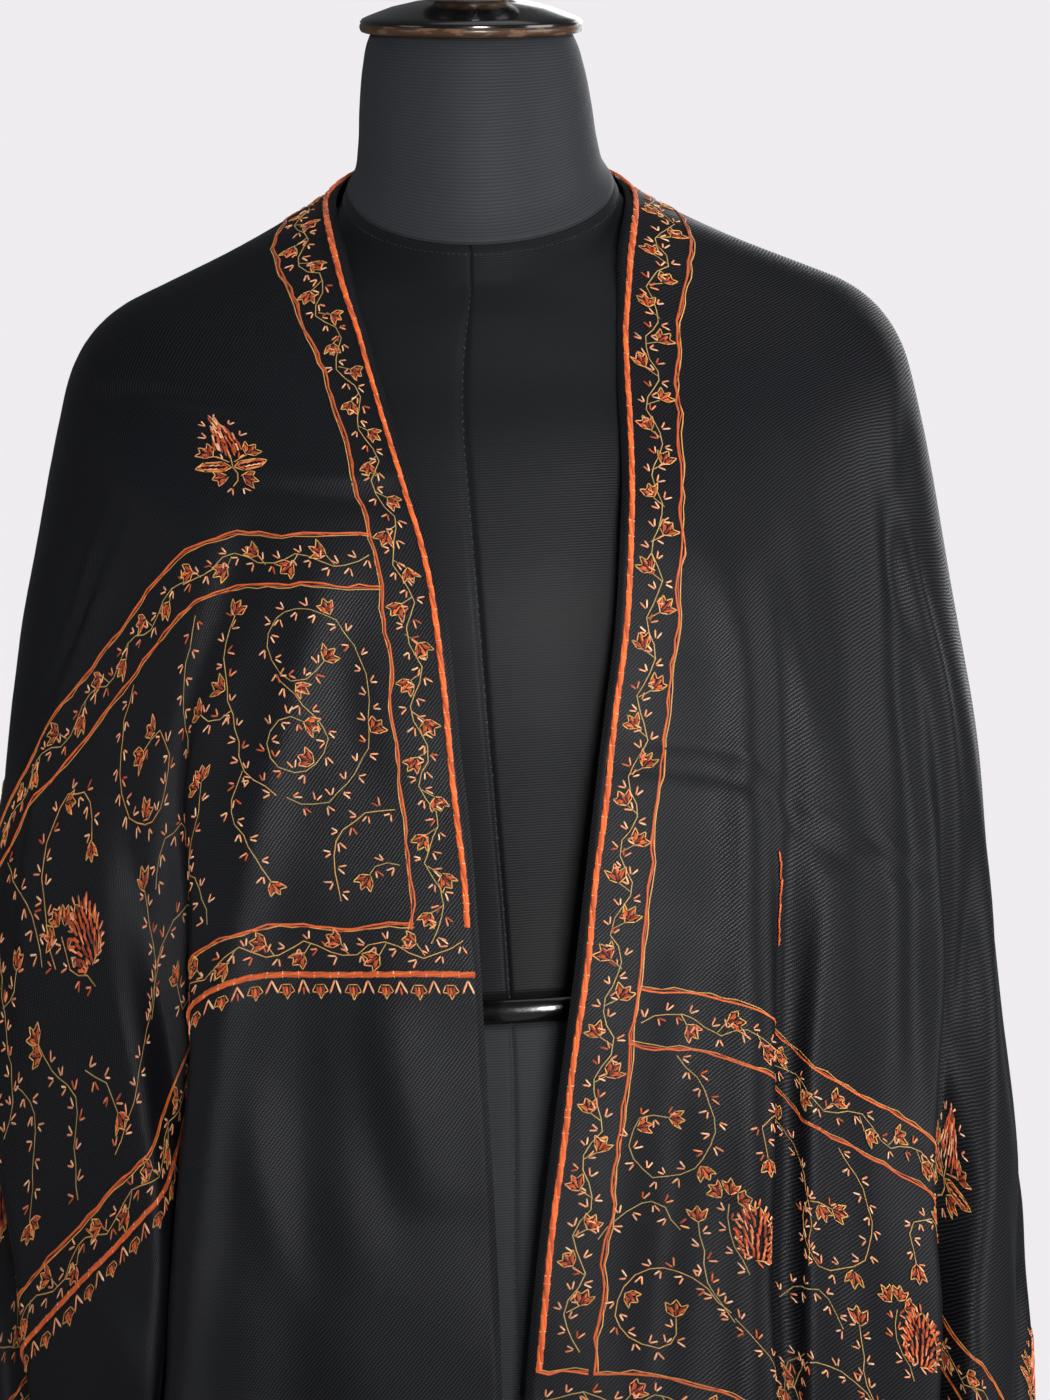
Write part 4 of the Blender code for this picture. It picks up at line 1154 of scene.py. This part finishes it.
# === the cap, the pole and the base
# The neck is closed by a turned wooden cap, lacquered black with a worn brown rim, and a turned knob on a
# brown foot. The form stands on a steel pole in a round cast iron base, both in satin black.
Turn = namedtuple("Turn", "radius height finish")
CAP_TURNS = in_mm(Turn, 2, (
    (48, .4, 1), (57.2, .4, 1), (59, 1, 1), (59.8, 2.4, 1), (60, 4, 1), (59.6, 5, 1), (59.2, 5.3, 0),
    (59.7, 6.2, 0), (58.5, 7.8, 0), (55.5, 9.2, 0), (53, 10.2, 0), (43, 13.9, 0), (30, 16.9, 0),
    (23.6, 17.8, 2), (22.6, 18.6, 2), (20.5, 20, 1), (19.9, 22, 1), (20.6, 24.6, 1), (22.4, 26.8, 0),
    (26.2, 30, 0), (29.6, 34.4, 0), (31.5, 39.5, 0), (32, 44, 0), (31.2, 49, 0), (28.6, 54, 0),
    (24, 58.4, 0), (18, 61.6, 0), (10, 63.4, 0), (3, 64, 0)))
POLE_TURNS = in_mm(Turn, 2, (
    (11, 0, 0), (12.5, 1.2, 0), (12.5, 100, 0), (12.5, 300, 0), (12.5, 500, 0), (12.5, 699.4, 0),
    (11.5, 701.4, 0)))
BASE_TURNS = in_mm(Turn, 2, (
    (160, 0, 0), (171.5, .3, 0), (173.8, 1.5, 0), (174.9, 4, 0), (175, 8, 0), (174.9, 11.8, 0),
    (173.8, 14.6, 0), (171.2, 16.6, 0), (167, 18.2, 0), (130, 20.4, 0), (95, 22.2, 0), (62, 24, 0),
    (47, 25.8, 0), (36, 29.5, 0), (30, 34.5, 0), (26.2, 42, 0), (23.6, 51, 0), (22, 63, 0),
    (21.4, 66.4, 0), (19, 67.9, 0), (13.5, 68, 0)))
CAP_NOD = math.radians(12.5)


def turned_piece(name, turns, place, finishes, node, nod=0.0, around=96):
    """A piece turned on a lathe, each stretch of its profile with its own finish."""
    angle = np.linspace(0, 2 * math.pi, around, endpoint=False)[None, :]
    radius, height = column(turns, "radius")[:, None], column(turns, "height")[:, None] + 0 * angle
    x, y = radius * np.sin(angle), -radius * np.cos(angle)
    points = np.stack([place[0] + x, y * math.cos(nod) - height * math.sin(nod),
                       place[1] + y * math.sin(nod) + height * math.cos(nod)], axis=-1)
    mesh = grid_mesh(name, points[::-1], closed=True)
    piece = shown(mesh, finishes, node)
    index = [turn.finish for turn in turns[::-1]]
    mesh.polygons.foreach_set("material_index", np.repeat(index[1:], around).tolist() + [index[0], index[-1]])
    return piece


grey_ring = worn_paint("grey_collar", (0.110, 0.108, 0.104), (0.040, 0.030, 0.022), 0.42, 0.66)
neck_top = NECK_RINGS[0].up
cap = turned_piece("cap", CAP_TURNS, (FORM_X - neck_top * math.tan(LEAN), TOP + neck_top),
                   (lacquer, wood, grey_ring), "neck_cap", CAP_NOD)
pole = turned_piece("pole", POLE_TURNS, (FORM_X + STEM_X, 0.0683), (enamel,), "pole", around=48)
base = turned_piece("base", BASE_TURNS, (FORM_X + STEM_X, 0.0), (enamel,), "base", around=128)

# === the stitched seams of the cover
# The cover is closed down the middle of the front by hand, in small uneven stitches of grey thread, and a
# row of close dark stitches holds it round the foot of the neck.


def seam_tree():
    """Stitches sewn along a line at a spacing, each a little out of true."""
    tree, given = making_tree("seam_stitches", Spacing=0.004, Length=0.002, Thickness=0.0004,
                              Slant=0.4, Seed=1)
    line = add_node(tree, "MeshToCurve", Mesh=given["Geometry"])
    places = add_node(tree, "CurveToPoints", {"mode": "LENGTH"}, Curve=line, Length=given["Spacing"])
    along_it = add_node(tree, "AxesToRotation", {"primary_axis": "X", "secondary_axis": "Z"},
                        i0=places.outputs["Tangent"], i1=(0.0, -1.0, 0.0))
    slant = calc("MULTIPLY", random_value(given["Seed"], -1.0, 1.0), given["Slant"])
    turn = add_node(tree, "RotateRotation", {"rotation_space": "LOCAL"}, i0=along_it,
                    i1=add_node(tree, "CombineXYZ", Z=slant))
    uneven = random_value(calc("ADD", given["Seed"], 4.0), 0.6, 1.25)
    size = add_node(tree, "CombineXYZ", X=calc("MULTIPLY", given["Length"], uneven), Y=given["Thickness"],
                    Z=given["Thickness"])
    return end_tree(given, add_node(
        tree, "InstanceOnPoints", Points=places.outputs["Points"], Rotation=turn, Scale=size,
        Instance=object_shape(tree, stitch)), on_cloth=False)


def sewn_seam(name, points, material, *values):
    """Stitches along a line of points on the cover, as a piece."""
    plan = bpy.data.meshes.new(name + "_line")
    plan.from_pydata(points.tolist(), [(i, i + 1) for i in range(len(points) - 1)], [])
    labels = ("Material", "Spacing", "Length", "Thickness", "Slant", "Seed")
    return sewn_mesh(name, plan, seam_maker, dict(zip(labels, (material, *values))))


seam_maker = seam_tree()
grey_cotton = worn_paint("seam_cotton", (0.030, 0.031, 0.033), (0.060, 0.061, 0.063), 0.75, 0.55)
dark_cotton = worn_paint("dark_cotton", (0.010, 0.0105, 0.012), (0.030, 0.031, 0.034), 0.75, 0.60)
front = int(np.argmin(np.abs(RING_TURNS)))
front_line = np.concatenate([torso_points[6:, front], hip_points[2:, front]]) + (0.0, -0.0002, 0.0)
sewn_seam("front_seam", front_line, grey_cotton, 0.0046, 0.0021, 0.0005, 0.6, 2)
neck_line = np.concatenate([torso_points[1], torso_points[1, :1]])
sewn_seam("neck_seam", neck_line, dark_cotton, 0.0030, 0.0022, 0.0006, 0.3, 6)
bpy.data.objects.remove(stitch, do_unlink=True)

# === floor, light and camera
# A pale floor under a pale sky, with a narrow lamp in front and broad soft ones above, behind and to both
# sides. The camera stands at chest level. None of this is part of the piece.
FLOOR_RADIUS = 4.0
studio, _, _ = new_material("studio_floor", Roughness=0.9, Specular_IOR_Level=0.2,
                            Base_Color=(0.80, 0.78, 0.81, 1.0))
floor_mesh = bpy.data.meshes.new("floor")
rim = [cmath.rect(FLOOR_RADIUS, 2 * math.pi * i / 96) for i in range(96)]
floor_mesh.from_pydata([(p.real, p.imag, 0.0) for p in rim], [], [tuple(range(96))])
floor_mesh.materials.append(studio)
floor = in_scene("floor", floor_mesh)

world = bpy.data.worlds.new("studio")
bpy.context.scene.world = world
world.use_nodes = True
sky = world.node_tree
sky.nodes.clear()
seen = add_node(sky, "Background", Color=(0.866, 0.838, 0.868, 1.0), Strength=1.0)
cast = add_node(sky, "Background", Color=(0.86, 0.88, 0.92, 1.0), Strength=0.12)
in_view = add_node(sky, "LightPath").outputs["Is Camera Ray"]
add_node(sky, "OutputWorld", i0=add_node(sky, "MixShader", i0=in_view, i1=cast, i2=seen))

LAMPS = (        # name, place, aim, size, power and spread of each
    ("key", (0.56, -3.0, 1.14), (0.18, 0.0, 1.30), 0.7, 3.9, 34),
    ("side", (2.6, -0.7, 1.4), (0.10, 0.0, 1.05), 1.5, 42, 180),
    ("fill", (-2.5, -1.2, 1.2), (-0.10, 0.0, 1.10), 1.2, 7, 180),
    ("overhead", (0.4, -0.4, 3.4), (0.0, 0.0, 1.2), 2.0, 10, 180),
    ("behind", (0.9, 2.4, 2.0), (0.0, 0.0, 1.1), 1.8, 26, 180),
)
for name, place, aim, size, power, spread in LAMPS:
    light = bpy.data.lights.new(name, "AREA")
    light.shape = "SQUARE"
    light.size = size
    light.energy = power
    light.spread = math.radians(spread)
    lamp = in_scene(name, light)
    lamp.location = place
    lamp.rotation_euler = (Vector(aim) - Vector(place)).to_track_quat("-Z", "Y").to_euler()

lens = bpy.data.cameras.new("camera")
lens.sensor_fit = "VERTICAL"
lens.angle = math.radians(20.24)
camera = in_scene("camera", lens)
camera.location = (FORM_X + 0.024, -2.10, 1.175)
camera.rotation_euler = (math.radians(90), 0.0, 0.0)
bpy.context.scene.camera = camera
bpy.context.scene.view_settings.view_transform = "Standard"
